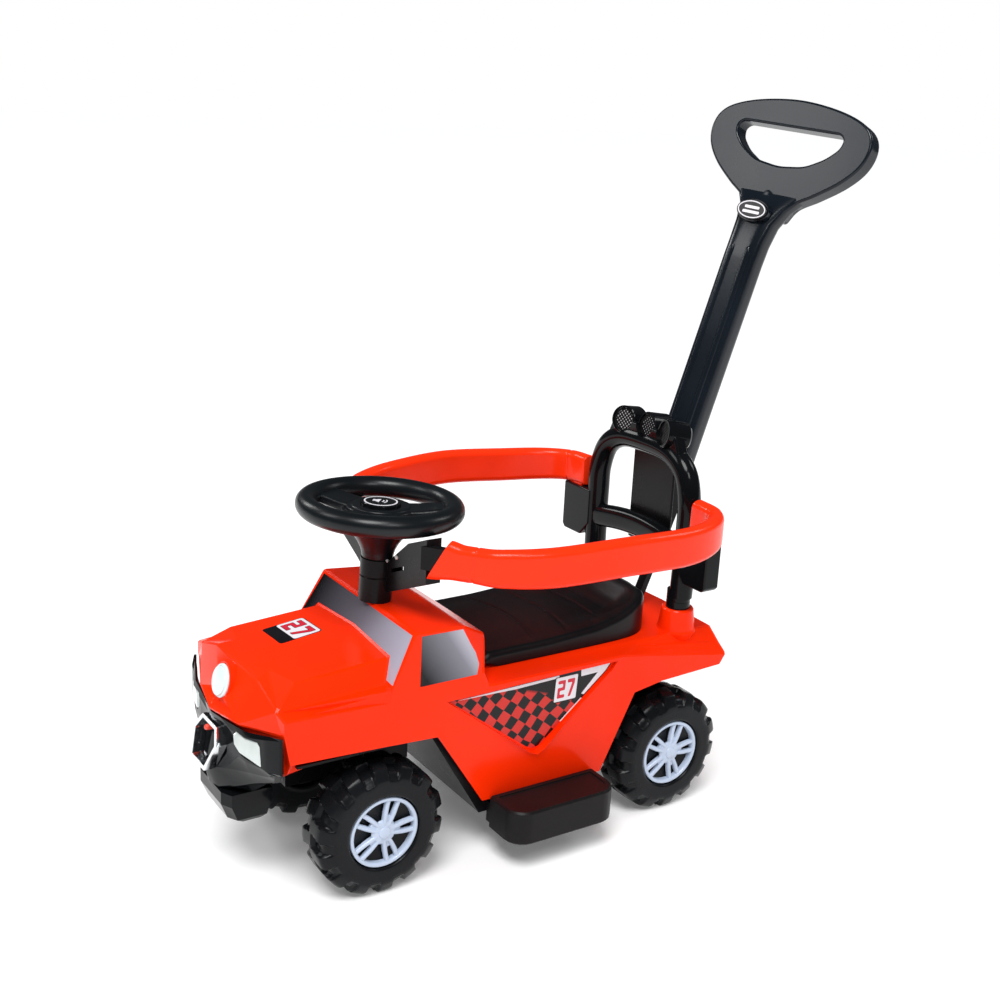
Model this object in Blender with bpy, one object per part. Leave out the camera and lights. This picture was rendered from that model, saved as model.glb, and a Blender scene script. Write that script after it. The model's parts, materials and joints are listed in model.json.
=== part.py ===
"""Foot-to-floor ride-on car, off-road style, with guard rails, a backrest and a push handle.

The car is modelled around the middle of its wheelbase: the front is -Y, the car's left side is +X
and the floor is FLOOR_Z. The empty car_frame then moves the whole car, so that the middle of its
bounding box stands over the world origin and the tyres rest on Z = 0. All sizes are in metres.
"""
import math

import bmesh
import bpy
from mathutils import Matrix, Vector

# Driving dimensions

FRAME_SHIFT_Y = -0.0513
GAP = 0.0003
WALL = 0.003

WHEELBASE = 0.400
TYRE_RADIUS = 0.0768
TYRE_WIDTH = 0.058
TYRE_MIDDLE_X = 0.0980
HUB_FLOOR = 0.0195
LUGS = 14
STEPS_PER_LUG = 4
AXLE_RADIUS = 0.004
BORE_PLAY = 0.0004
AXLE_END_X = 0.1213
HUBCAP_RADIUS = 0.0412
SPOKES = 5

SIDE_X = 0.120
SKIRT_X = 0.108
LEDGE_Z = 0.220
LEDGE_X = 0.097

KINGPIN_X = 0.050
STEERING_ARM = 0.032
CRANK_RADIUS = 0.020
COLUMN_LEAN = math.radians(2.5)
COLUMN_FOOT = Vector((0.0, -0.152, 0.288))
WHEEL_HUB_RISE = 0.108
RIM_RADIUS = 0.082
RIM_TUBE = 0.0122

SEAT_AXIS = Vector((0.0, -0.050, 0.229))
HINGE_PIN_RADIUS = 0.0020
HINGE_EAR_X = (0.057, 0.063)
HINGE_LUG_X = (0.0665, 0.0705)

LEG_X = 0.085
LEG_Y = 0.226
FRAME_TUBE = 0.0135

HANDLE_LEAN = math.radians(18.66)
HANDLE_NECK = Vector((0.0, 0.3764, 0.7133))
HANDLE_TWIST = math.radians(15.0)
STEM_HALF_WIDTH = 0.0240
STEM_HALF_DEPTH = 0.0172
STEM_LOW = -0.3250
PEG_LOW = -0.3760
PEG_RADIUS = 0.0105
BADGE_RISE = 0.0020

RAIL_HALF_HEIGHT = 0.0175
RAIL_HALF_DEPTH = 0.0095
RAIL_WALL = 0.0028

AXLE_Z = 0.0712
FLOOR_Z = AXLE_Z - TYRE_RADIUS * math.cos(math.pi / (LUGS * STEPS_PER_LUG))
FRONT_AXLE_Y = -WHEELBASE / 2
REAR_AXLE_Y = WHEELBASE / 2


# Scene and materials

def clear_scene():
    for item in list(bpy.data.objects):
        bpy.data.objects.remove(item, do_unlink=True)


def plastic(name, colour, roughness, metallic=0.0):
    """Principled material with the piece's colour, roughness and metallic value."""
    made = bpy.data.materials.new(name)
    made.use_nodes = True
    shader = made.node_tree.nodes["Principled BSDF"]
    shader.inputs["Base Color"].default_value = (*colour, 1.0)
    shader.inputs["Roughness"].default_value = roughness
    shader.inputs["Metallic"].default_value = metallic
    return made


# Shape helpers

def solid(verts, faces):
    """Object from points and faces, with every face turned outwards."""
    mesh = bpy.data.meshes.new("solid")
    mesh.from_pydata([tuple(point) for point in verts], [], faces)
    shape = bmesh.new()
    shape.from_mesh(mesh)
    bmesh.ops.recalc_face_normals(shape, faces=shape.faces)
    shape.to_mesh(mesh)
    shape.free()
    made = bpy.data.objects.new("solid", mesh)
    bpy.context.scene.collection.objects.link(made)
    return made


def loft(rings):
    """Closed solid through rings of equal point counts, with flat ends."""
    count = len(rings[0])
    faces = [tuple(range(count))]
    for row in range(len(rings) - 1):
        for k in range(count):
            after = (k + 1) % count
            faces.append((row * count + k, row * count + after,
                          (row + 1) * count + after, (row + 1) * count + k))
    last = (len(rings) - 1) * count
    faces.append(tuple(range(last, last + count)))
    return solid([point for ring in rings for point in ring], faces)


def hoop(rings):
    """Closed solid through rings of equal point counts, the last joined to the first."""
    count = len(rings[0])
    faces = []
    for row in range(len(rings)):
        following = (row + 1) % len(rings)
        for k in range(count):
            after = (k + 1) % count
            faces.append((row * count + k, row * count + after,
                          following * count + after, following * count + k))
    return solid([point for ring in rings for point in ring], faces)


def prism(outline, low, high, axis="X"):
    """Outline of (a, b) pairs extruded from low to high along an axis.

    Along X the pairs are (y, z), along Y they are (x, z) and along Z they are (x, y).
    """
    def place(a, b, along):
        if axis == "X":
            return (along, a, b)
        if axis == "Y":
            return (a, along, b)
        return (a, b, along)
    return loft([[place(a, b, low) for a, b in outline], [place(a, b, high) for a, b in outline]])


def block(low, high):
    """Box between two corners."""
    return prism([(low[1], low[2]), (high[1], low[2]), (high[1], high[2]), (low[1], high[2])],
                 low[0], high[0])


def turned(profile, steps=32):
    """Solid turned about Z from (radius, height) pairs; a radius of zero makes a pole."""
    shape = bmesh.new()
    points = [shape.verts.new((radius, 0.0, height)) for radius, height in profile]
    edges = [shape.edges.new((points[k], points[k + 1])) for k in range(len(points) - 1)]
    if profile[0][0] > 0.0 or profile[-1][0] > 0.0:
        edges.append(shape.edges.new((points[-1], points[0])))
    bmesh.ops.spin(shape, geom=points + edges, cent=(0, 0, 0), axis=(0, 0, 1),
                   angle=2 * math.pi, steps=steps)
    bmesh.ops.remove_doubles(shape, verts=shape.verts, dist=1e-6)
    bmesh.ops.recalc_face_normals(shape, faces=shape.faces)
    mesh = bpy.data.meshes.new("turned")
    shape.to_mesh(mesh)
    shape.free()
    made = bpy.data.objects.new("turned", mesh)
    bpy.context.scene.collection.objects.link(made)
    return made


def rod(radius, low, high, steps=20):
    """Solid round bar on the Z axis."""
    return turned([(0.0, low), (radius, low), (radius, high), (0.0, high)], steps)


def tube(outer, inner, low, high, steps=32):
    """Open round tube on the Z axis."""
    return turned([(outer, low), (outer, high), (inner, high), (inner, low)], steps)


def section(half_width, half_height, count=16, squareness=2.0):
    """Points of a rounded cross-section: 2 is an ellipse, higher values are squarer."""
    points = []
    for k in range(count):
        angle = 2 * math.pi * (k + 0.5) / count
        c, s = math.cos(angle), math.sin(angle)
        points.append((half_width * math.copysign(abs(c) ** (2 / squareness), c),
                       half_height * math.copysign(abs(s) ** (2 / squareness), s)))
    return points


def smooth_path(knots, per_span, closed=False):
    """Catmull-Rom curve through the knots."""
    count = len(knots)
    spans = count if closed else count - 1
    points = []
    for span in range(spans):
        if closed:
            a, b, c, d = (knots[(span + k - 1) % count] for k in range(4))
        else:
            b, c = knots[span], knots[span + 1]
            a = knots[span - 1] if span > 0 else b * 2 - c
            d = knots[span + 2] if span + 2 < count else c * 2 - b
        for step in range(per_span):
            t = step / per_span
            points.append(0.5 * ((2 * b) + (c - a) * t + (2 * a - 5 * b + 4 * c - d) * t * t
                                 + (3 * b - a - 3 * c + d) * t ** 3))
    if not closed:
        points.append(knots[-1].copy())
    return points


def sweep_rings(path, profile, up, closed=False):
    """Rings of a profile carried along a path; profile is (sideways, up) or one per path point."""
    rings = []
    count = len(path)
    for k, centre in enumerate(path):
        before = path[(k - 1) % count] if closed or k > 0 else centre
        after = path[(k + 1) % count] if closed or k < count - 1 else centre
        along = (after - before).normalized()
        side = along.cross(up).normalized()
        lift = side.cross(along)
        shape = profile(k / (count - 1)) if callable(profile) else profile
        rings.append([centre + side * a + lift * b for a, b in shape])
    return rings


def moved(item, matrix):
    """Move the piece's mesh, so that its own origin stays at the world origin."""
    item.data.transform(matrix)
    return item


def shift(item, x=0.0, y=0.0, z=0.0):
    return moved(item, Matrix.Translation((x, y, z)))


def turn(item, degrees, axis):
    return moved(item, Matrix.Rotation(math.radians(degrees), 4, axis))


def boolean(item, other, operation):
    """Apply one exact Boolean and remove the other shape."""
    modifier = item.modifiers.new(operation.lower(), "BOOLEAN")
    modifier.operation = operation
    modifier.solver = "EXACT"
    modifier.object = other
    settle(item)
    bpy.data.objects.remove(other, do_unlink=True)
    return item


def settle(item):
    """Replace the mesh with the one that its modifiers make."""
    graph = bpy.context.evaluated_depsgraph_get()
    mesh = bpy.data.meshes.new_from_object(item.evaluated_get(graph))
    old = item.data
    item.modifiers.clear()
    item.data = mesh
    bpy.data.meshes.remove(old)
    return item


def cut(item, *others):
    for other in others:
        boolean(item, other, "DIFFERENCE")
    return item


def join(item, *others):
    for other in others:
        boolean(item, other, "UNION")
    return item


def bevelled(item, width, segments=2, angle=30.0):
    """Round the edges that are sharper than an angle."""
    modifier = item.modifiers.new("bevel", "BEVEL")
    modifier.width = width
    modifier.segments = segments
    modifier.limit_method = "ANGLE"
    modifier.angle_limit = math.radians(angle)
    modifier.use_clamp_overlap = True
    return settle(item)


def mirror_copy(item):
    """Copy of a left-hand piece for the right-hand side."""
    mesh = item.data.copy()
    shape = bmesh.new()
    shape.from_mesh(mesh)
    bmesh.ops.scale(shape, vec=(-1, 1, 1), verts=shape.verts)
    bmesh.ops.reverse_faces(shape, faces=shape.faces)
    shape.to_mesh(mesh)
    shape.free()
    made = bpy.data.objects.new("mirrored", mesh)
    bpy.context.scene.collection.objects.link(made)
    return made


def arc(centre_a, centre_b, radius, start, end, count):
    """Points of an arc, in degrees, both ends included."""
    points = []
    for k in range(count):
        angle = math.radians(start + (end - start) * k / (count - 1))
        points.append((centre_a + radius * math.cos(angle), centre_b + radius * math.sin(angle)))
    return points


def name_piece(item, name, material, parent, smooth_degrees=35.0):
    """Name a finished piece, give it its material and put it under its parent empty."""
    item.name = name
    item.data.name = name
    item.data.materials.clear()
    item.data.materials.append(material)
    item.data.shade_smooth()
    item.data.set_sharp_from_angle(angle=math.radians(smooth_degrees))
    item.parent = parent
    item.data.transform(parent.matrix_world.inverted() @ CAR.matrix_world)
    return item


def pivot(name, position, parent, rotation=(0.0, 0.0, 0.0)):
    """Empty on a joint's axis, in car coordinates when its parent is the car frame."""
    made = bpy.data.objects.new(name, None)
    made.location = position
    made.rotation_euler = rotation
    made.parent = parent
    bpy.context.scene.collection.objects.link(made)
    bpy.context.view_layer.update()
    return made


clear_scene()
CAR = bpy.data.objects.new("car_frame", None)
CAR.location = (0.0, FRAME_SHIFT_Y, -FLOOR_Z)
bpy.context.scene.collection.objects.link(CAR)
bpy.context.view_layer.update()

RED = plastic("red_plastic", (0.90, 0.045, 0.008), 0.28)
BLACK = plastic("black_plastic", (0.012, 0.012, 0.014), 0.35)
BLACK_SOFT = plastic("black_tyre", (0.010, 0.010, 0.011), 0.45)
SILVER = plastic("silver_blue_plastic", (0.45, 0.53, 0.66), 0.35)
CHROME = plastic("chrome_plate", (0.75, 0.76, 0.78), 0.12, 1.0)
CLEAR = plastic("clear_lens", (0.72, 0.76, 0.74), 0.15)
STEEL = plastic("zinc_steel", (0.55, 0.55, 0.56), 0.35, 1.0)
WHITE = plastic("white_lens", (0.85, 0.88, 0.86), 0.2)


# Body shell

HALF_BODY_POINTS = {
    "nose_low_middle": (0.000, -0.333, 0.150),
    "nose_low": (0.055, -0.323, 0.150),
    "nose_low_end": (0.095, -0.303, 0.150),
    "nose_middle": (0.000, -0.350, 0.198),
    "nose": (0.055, -0.339, 0.200),
    "nose_end": (0.1185, -0.316, 0.209),
    "under_middle": (0.000, -0.3405, 0.1955),
    "under": (0.055, -0.3325, 0.1970),
    "brow_middle": (0.000, -0.320, 0.2480),
    "brow": (0.055, -0.318, 0.2465),
    "hood_front_middle": (0.000, -0.289, 0.2550),
    "hood_front": (0.087, -0.289, 0.2505),
    "fender_front_inner": (0.103, -0.318, 0.231),
    "fender_front": (0.120, -0.316, 0.226),
    "fender_front_low": (0.120, -0.309, 0.176),
    "hood_rear_middle": (0.000, -0.1780, 0.2640),
    "hood_rear": (0.087, -0.1800, 0.2585),
    "pillar_inner": (0.103, -0.1924, 0.2360),
    "pillar_outer": (0.1185, -0.1935, 0.2340),
    "fender_pillar": (0.120, -0.1935, 0.2195),
    "fender_pillar_low": (0.120, -0.2000, 0.1715),
    "glass_top_middle": (0.000, -0.1610, 0.2915),
    "glass_top": (0.1127, -0.1610, 0.2920),
    "window_front": (0.1190, -0.1600, 0.2320),
    "window_rear": (0.1185, -0.0780, 0.2320),
    "roof_rear_middle": (0.000, -0.0660, 0.2705),
    "roof_rear": (0.0990, -0.0660, 0.2700),
    "shoulder_front": (0.120, -0.1350, 0.2170),
    "arch_front_top": (0.120, -0.1340, 0.1680),
    "shoulder_cab": (0.120, -0.0700, 0.2165),
    "front_tip": (SKIRT_X, -0.0645, 0.0660),
    "ledge_front_middle": (0.000, -0.0640, LEDGE_Z),
    "ledge_front": (LEDGE_X, -0.0640, LEDGE_Z),
    "shoulder_rear": (0.120, 0.1120, 0.2160),
    "rear_tip": (SKIRT_X, 0.1040, 0.0620),
    "rear_knee": (0.1190, 0.1400, 0.1630),
    "rear_arch": (0.120, 0.1810, 0.1705),
    "ledge_rear": (LEDGE_X, 0.1500, LEDGE_Z),
    "deck_rear_middle": (0.000, 0.2740, LEDGE_Z),
    "deck_rear": (0.0990, 0.2700, LEDGE_Z),
    "waist_front": (0.1060, 0.1500, 0.2165),
    "tail_waist_middle": (0.000, 0.2860, 0.1980),
    "tail_waist": (0.1110, 0.2790, 0.1980),
    "lip_middle": (0.000, 0.2980, 0.1870),
    "lip": (0.120, 0.2830, 0.1865),
    "tail_low_middle": (0.000, 0.2960, 0.1745),
    "tail_low": (0.120, 0.2750, 0.1745),
}

HALF_BODY_FACES = (
    ("nose_low_middle", "nose_low", "under", "under_middle"),
    ("nose_low", "nose_low_end", "nose_end", "under"),
    ("under_middle", "under", "nose", "nose_middle"),
    ("under", "nose_end", "nose"),
    ("nose_low_end", "fender_front_low", "fender_front", "nose_end"),
    ("nose_middle", "nose", "brow", "brow_middle"),
    ("nose", "nose_end", "fender_front_inner", "brow"),
    ("nose_end", "fender_front", "fender_front_inner"),
    ("brow", "fender_front_inner", "hood_front"),
    ("brow_middle", "brow", "hood_front", "hood_front_middle"),
    ("hood_front_middle", "hood_front", "hood_rear", "hood_rear_middle"),
    ("hood_front", "fender_front_inner", "pillar_inner", "hood_rear"),
    ("fender_front_inner", "fender_front", "fender_pillar", "pillar_outer", "pillar_inner"),
    ("fender_front", "fender_front_low", "fender_pillar_low", "fender_pillar"),
    ("hood_rear_middle", "hood_rear", "glass_top", "glass_top_middle"),
    ("hood_rear", "pillar_inner", "pillar_outer", "glass_top"),
    ("pillar_outer", "fender_pillar", "window_front"),
    ("glass_top", "pillar_outer", "window_front"),
    ("fender_pillar", "shoulder_front", "window_front"),
    ("window_front", "shoulder_front", "shoulder_cab", "window_rear"),
    ("glass_top", "window_front", "window_rear", "roof_rear"),
    ("glass_top_middle", "glass_top", "roof_rear", "roof_rear_middle"),
    ("fender_pillar", "fender_pillar_low", "arch_front_top", "shoulder_front"),
    ("roof_rear_middle", "roof_rear", "ledge_front", "ledge_front_middle"),
    ("roof_rear", "window_rear", "shoulder_cab", "ledge_front"),
    ("ledge_front_middle", "ledge_front", "ledge_rear", "deck_rear", "deck_rear_middle"),
    ("ledge_front", "shoulder_cab", "shoulder_rear", "waist_front", "ledge_rear"),
    ("shoulder_front", "arch_front_top", "front_tip", "shoulder_cab"),
    ("shoulder_cab", "front_tip", "rear_tip", "shoulder_rear"),
    ("shoulder_rear", "rear_tip", "rear_knee"),
    ("shoulder_rear", "rear_knee", "rear_arch", "lip"),
    ("rear_arch", "tail_low", "lip"),
    ("ledge_rear", "waist_front", "tail_waist", "deck_rear"),
    ("waist_front", "shoulder_rear", "lip", "tail_waist"),
    ("deck_rear_middle", "deck_rear", "tail_waist", "tail_waist_middle"),
    ("tail_waist_middle", "tail_waist", "lip", "lip_middle"),
    ("lip_middle", "lip", "tail_low", "tail_low_middle"),
)

FOLD_WIDTH = 0.0026
RECESS_DEPTH = 0.0045
WELL_HALF_WIDTH = 0.066
WELL_FRONT_Y = -0.040
WELL_REAR_Y = 0.106
WELL_FLOOR_Z = 0.105
COLLAR_TOP_Z = 0.2475
LEG_FOOT_Z = 0.196
PLATE_TOP_Z = 0.161
LAMP_CENTRE = Vector((0.0, -0.3330, 0.2265))
LAMP_TILT = math.radians(31.0)
LAMP_RADIUS = 0.0188
STRUT_HALF_WIDTH = 0.0065
STRUT_FOOT_Y = 0.2300


def body_skin():
    """Folded outer skin of one half, mirrored, then given its wall thickness inwards."""
    order = list(HALF_BODY_POINTS)
    verts = [HALF_BODY_POINTS[key] for key in order]
    faces = [tuple(order.index(key) for key in face) for face in HALF_BODY_FACES]
    mesh = bpy.data.meshes.new("skin")
    mesh.from_pydata(verts, [], faces)
    skin = bpy.data.objects.new("skin", mesh)
    bpy.context.scene.collection.objects.link(skin)
    mirror = skin.modifiers.new("mirror", "MIRROR")
    mirror.merge_threshold = 0.0001
    settle(skin)
    shape = bmesh.new()
    shape.from_mesh(skin.data)
    bmesh.ops.recalc_face_normals(shape, faces=shape.faces)
    top = max(shape.faces, key=lambda face: face.calc_center_median().z)
    if top.normal.z < 0.0:
        bmesh.ops.reverse_faces(shape, faces=shape.faces)
    shape.to_mesh(skin.data)
    shape.free()
    bevel = skin.modifiers.new("edges", "BEVEL")
    bevel.width = FOLD_WIDTH
    bevel.segments = 1
    bevel.limit_method = "ANGLE"
    bevel.angle_limit = math.radians(12.0)
    wall = skin.modifiers.new("wall", "SOLIDIFY")
    wall.thickness = WALL
    wall.offset = -1.0
    wall.use_even_offset = True
    return settle(skin)


def recess_cutter():
    """Three-cornered sunk panel on the left flank, with a rounded lower corner."""
    outline = [(-0.124, 0.2075), (0.110, 0.2105), (0.103, 0.200)]
    outline += [(0.014, 0.118), (0.004, 0.1125), (-0.008, 0.118)]
    cutter = prism(outline, 0.0, 0.05)
    cutter = moved(cutter, Matrix.Translation((SIDE_X - RECESS_DEPTH, 0.0, 0.216))
                   @ Matrix.Rotation(math.atan((SIDE_X - SKIRT_X) / 0.150), 4, "Y")
                   @ Matrix.Translation((0.0, 0.0, -0.216)))
    return cutter


def body_shell():
    shell = body_skin()
    for side in (1, -1):
        recess = recess_cutter()
        backing = recess_cutter()
        backing.data.transform(Matrix.Translation((-WALL, 0.0, 0.0)))
        trim = block((SIDE_X - 0.004, -0.2, 0.0), (0.3, 0.2, 0.3))
        cut(backing, trim)
        if side < 0:
            for item in (recess, backing):
                bmesh_flip(item)
        join(shell, backing)
        cut(shell, recess)
    well = block((-WELL_HALF_WIDTH - WALL, WELL_FRONT_Y - WALL, WELL_FLOOR_Z - WALL),
                 (WELL_HALF_WIDTH + WALL, WELL_REAR_Y + WALL, LEDGE_Z - 0.001))
    join(shell, well)
    cut(shell, block((-WELL_HALF_WIDTH, WELL_FRONT_Y, WELL_FLOOR_Z),
                     (WELL_HALF_WIDTH, WELL_REAR_Y, LEDGE_Z + 0.01)))
    for side in (1, -1):
        collar = turned([(0.0, 0.205), (0.0185, 0.205), (0.0245, 0.2185), (0.0235, 0.222),
                         (0.0195, COLLAR_TOP_Z), (0.0, COLLAR_TOP_Z)], 20)
        join(shell, shift(collar, side * LEG_X, LEG_Y))
        join(shell, shift(rod(0.0180, LEG_FOOT_Z - 0.004, 0.21, 16), side * LEG_X, LEG_Y))
        cut(shell, shift(rod(0.0150, LEG_FOOT_Z - 0.001, 0.26, 16), side * LEG_X, LEG_Y))
    for side in (1, -1):
        boss = rod(0.006, PLATE_TOP_Z + GAP, 0.2540, 8)
        join(shell, shift(boss, side * 0.055, -0.245))
        ear = block((HINGE_EAR_X[0], SEAT_AXIS.y - 0.0035, 0.218),
                    (HINGE_EAR_X[1], SEAT_AXIS.y + 0.0045, 0.2322))
        if side < 0:
            bmesh_flip(ear)
        join(shell, ear)
    cut(shell, seat_axis_rod(HINGE_PIN_RADIUS + GAP, 0.075))
    cut(shell, on_column(rod(0.0062, -0.03, 0.03, 12)))
    cut(shell, on_lamp(rod(LAMP_RADIUS + GAP, -0.02, 0.03, 20)))
    cut(shell, block((-STRUT_HALF_WIDTH - GAP, STRUT_FOOT_Y - 0.0045 - GAP, 0.20),
                     (STRUT_HALF_WIDTH + GAP, STRUT_FOOT_Y + 0.0045 + GAP, 0.23)))
    return shell


def seat_axis_rod(radius, half_length, steps=12):
    """Round bar along the seat's hinge axis."""
    bar = turn(rod(radius, -half_length, half_length, steps), 90, "Y")
    return moved(bar, Matrix.Translation(SEAT_AXIS))


def on_lamp(item):
    """Place a shape made along Z on the sloping nose face, where the headlamp sits."""
    return moved(item, Matrix.Translation(LAMP_CENTRE)
                 @ Matrix.Rotation(math.radians(90.0) - LAMP_TILT, 4, "X"))


def bmesh_flip(item):
    """Mirror a piece's own mesh to the other side."""
    shape = bmesh.new()
    shape.from_mesh(item.data)
    bmesh.ops.scale(shape, vec=(-1, 1, 1), verts=shape.verts)
    bmesh.ops.reverse_faces(shape, faces=shape.faces)
    shape.to_mesh(item.data)
    shape.free()
    return item


def on_column(item):
    """Place a shape turned about Z on the leaning steering column, measured from its foot."""
    return moved(item, Matrix.Translation(COLUMN_FOOT) @ Matrix.Rotation(-COLUMN_LEAN, 4, "X"))


def on_handle(item):
    """Place a shape made along Z on the leaning push handle, measured from its neck."""
    return moved(item, Matrix.Translation(HANDLE_NECK) @ Matrix.Rotation(-HANDLE_LEAN, 4, "X"))


name_piece(body_shell(), "body_shell", RED, CAR)


# Front bumper with grille ring and lamps

BUMPER_WALL = 0.0032
BUMPER_SECTIONS = (
    (0.0000, ((-0.3470, 0.1943), (-0.3455, 0.184), (-0.3440, 0.167),
              (-0.3545, 0.137), (-0.3500, 0.112), (-0.3250, 0.100))),
    (0.0200, ((-0.3440, 0.1947), (-0.3430, 0.185), (-0.3425, 0.167),
              (-0.3500, 0.138), (-0.3470, 0.113), (-0.3220, 0.101))),
    (0.0450, ((-0.3400, 0.1960), (-0.3420, 0.190), (-0.3410, 0.165),
              (-0.3410, 0.145), (-0.3360, 0.124), (-0.3180, 0.113))),
    (0.0720, ((-0.3372, 0.1995), (-0.3395, 0.194), (-0.3385, 0.166),
              (-0.3340, 0.152), (-0.3270, 0.138), (-0.3140, 0.134))),
    (0.0970, ((-0.3284, 0.2045), (-0.3305, 0.200), (-0.3300, 0.167),
              (-0.3240, 0.156), (-0.3170, 0.148), (-0.3080, 0.146))),
    (0.1060, ((-0.3252, 0.2065), (-0.3285, 0.203), (-0.3285, 0.1665),
              (-0.3240, 0.162), (-0.3200, 0.160), (-0.3130, 0.160))),
    (0.1205, ((-0.3206, 0.2085), (-0.3208, 0.2065), (-0.3208, 0.1685),
              (-0.3200, 0.1673), (-0.3190, 0.1668), (-0.3180, 0.1664))),
)
FOG_OUTLINE = ((0.0490, 0.1885), (0.0530, 0.1925), (0.0900, 0.1945), (0.0935, 0.1905),
               (0.0950, 0.1685), (0.0600, 0.1700), (0.0500, 0.1780))
GRILLE_OUTLINE = ((0.020, 0.0), (0.032, 0.35), (0.020, 1.0))


def mirrored_sections():
    left = [(x, points) for x, points in BUMPER_SECTIONS]
    return [(-x, points) for x, points in reversed(left[1:])] + left


def inward(points, distance):
    """Offset of an open (y, z) line to its rear side."""
    shifted = []
    for k, (y, z) in enumerate(points):
        before = points[max(k - 1, 0)]
        after = points[min(k + 1, len(points) - 1)]
        run = Vector((after[0] - before[0], after[1] - before[1])).normalized()
        shifted.append((y - run.y * distance, z + run.x * distance))
    return shifted


def bumper_envelope(forward=0.0):
    """Everything behind the bumper's front face, used to seat the grille ring on it."""
    rings = []
    for x, points in mirrored_sections():
        ring = [(x, y - forward, z) for y, z in points]
        ring += [(x, -0.29, points[-1][1]), (x, -0.29, points[0][1])]
        rings.append(ring)
    return loft(rings)


def hexagon(scale, y_top, y_bottom):
    """Grille outline on a plane that leans forward towards the ground."""
    top, bottom = 0.1845, 0.1370
    middle = (top + bottom) / 2
    ring = []
    for x, fall in GRILLE_OUTLINE:
        ring.append((x, fall))
    ring += [(-x, fall) for x, fall in reversed(GRILLE_OUTLINE)]
    points = []
    for x, fall in ring:
        z = top + (bottom - top) * fall
        z = middle + (z - middle) * scale
        share = (top - z) / (top - bottom)
        points.append((x * scale, y_top + (y_bottom - y_top) * share, z))
    return points


def front_bumper():
    rings = []
    for x, points in mirrored_sections():
        inner = inward(points, BUMPER_WALL)
        rings.append([(x, y, z) for y, z in points] + [(x, y, z) for y, z in reversed(inner)])
    bumper = loft(rings)
    skid = loft([[(-0.044, -0.342, z), (-0.030, -0.349, z), (0.030, -0.349, z),
                  (0.044, -0.342, z), (0.044, -0.296, z), (-0.044, -0.296, z)]
                 for z in (0.1125, 0.098)]
                + [[(-0.040, -0.334, 0.079), (-0.028, -0.341, 0.079), (0.028, -0.341, 0.079),
                    (0.040, -0.334, 0.079), (0.040, -0.300, 0.079), (-0.040, -0.300, 0.079)],
                   [(-0.036, -0.326, 0.074), (-0.025, -0.332, 0.074), (0.025, -0.332, 0.074),
                    (0.036, -0.326, 0.074), (0.036, -0.306, 0.074), (-0.036, -0.306, 0.074)]])
    join(bumper, skid)
    cut(bumper, block((-0.038, -0.331, 0.078), (0.038, -0.290, 0.109)))
    for side in (1, -1):
        lug = block((0.016, -0.3432, 0.1440), (0.030, -0.2785, 0.1490))
        hole = prism([(x, z) for x, z in grown(FOG_OUTLINE, GAP)], -0.36, -0.31, "Y")
        if side < 0:
            bmesh_flip(lug)
            bmesh_flip(hole)
        join(bumper, lug)
        cut(bumper, hole)
    return bumper


def grown(outline, distance):
    """Outline with every corner moved away from its middle."""
    middle_x = sum(x for x, _ in outline) / len(outline)
    middle_z = sum(z for _, z in outline) / len(outline)
    return [(x + math.copysign(distance, x - middle_x), z + math.copysign(distance, z - middle_z))
            for x, z in outline]


def fog_lamp():
    """Clear lens that fills the bumper's lamp opening and stands slightly proud of it."""
    rear = [(x, -0.3375 + (x - 0.045) * 0.2212, z) for x, z in FOG_OUTLINE]
    front = [(x, -0.3420 + (x - 0.045) * 0.2212 - 0.0004, z) for x, z in FOG_OUTLINE]
    crown = [(0.0728 + (x - 0.0728) * 0.86, y - 0.0016, 0.1825 + (z - 0.1825) * 0.82)
             for x, y, z in front]
    return loft([rear, front, crown])


def grille_ring():
    ring = loft([hexagon(1.0, -0.3490, -0.3640), hexagon(1.0, -0.3380, -0.3450)])
    cut(ring, loft([hexagon(0.84, -0.3540, -0.3690), hexagon(0.84, -0.3300, -0.3400)]))
    return cut(ring, bumper_envelope(GAP))


def headlamp():
    return on_lamp(turned([(0.0, -0.007), (LAMP_RADIUS, -0.007), (LAMP_RADIUS, 0.0015),
                           (0.0158, 0.0046), (0.0100, 0.0064), (0.0, 0.0072)], 20))


name_piece(front_bumper(), "front_bumper", BLACK, CAR)
name_piece(grille_ring(), "grille_ring", CHROME, CAR)
LEFT_FOG = name_piece(fog_lamp(), "fog_lamp_left", CLEAR, CAR)
name_piece(mirror_copy(LEFT_FOG), "fog_lamp_right", CLEAR, CAR)
name_piece(headlamp(), "headlamp", WHITE, CAR)


# Chassis and footboards

TUB_OUTLINE = ((-0.0620, 0.0450), (0.0980, 0.0450), (0.1350, PLATE_TOP_Z), (-0.1316, PLATE_TOP_Z))
TUB_HALF_WIDTH = 0.098
PLATE_Z = 0.158
SPINE_HALF_WIDTH = 0.045
SLEEVE_LOW_Z = 0.103


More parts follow.
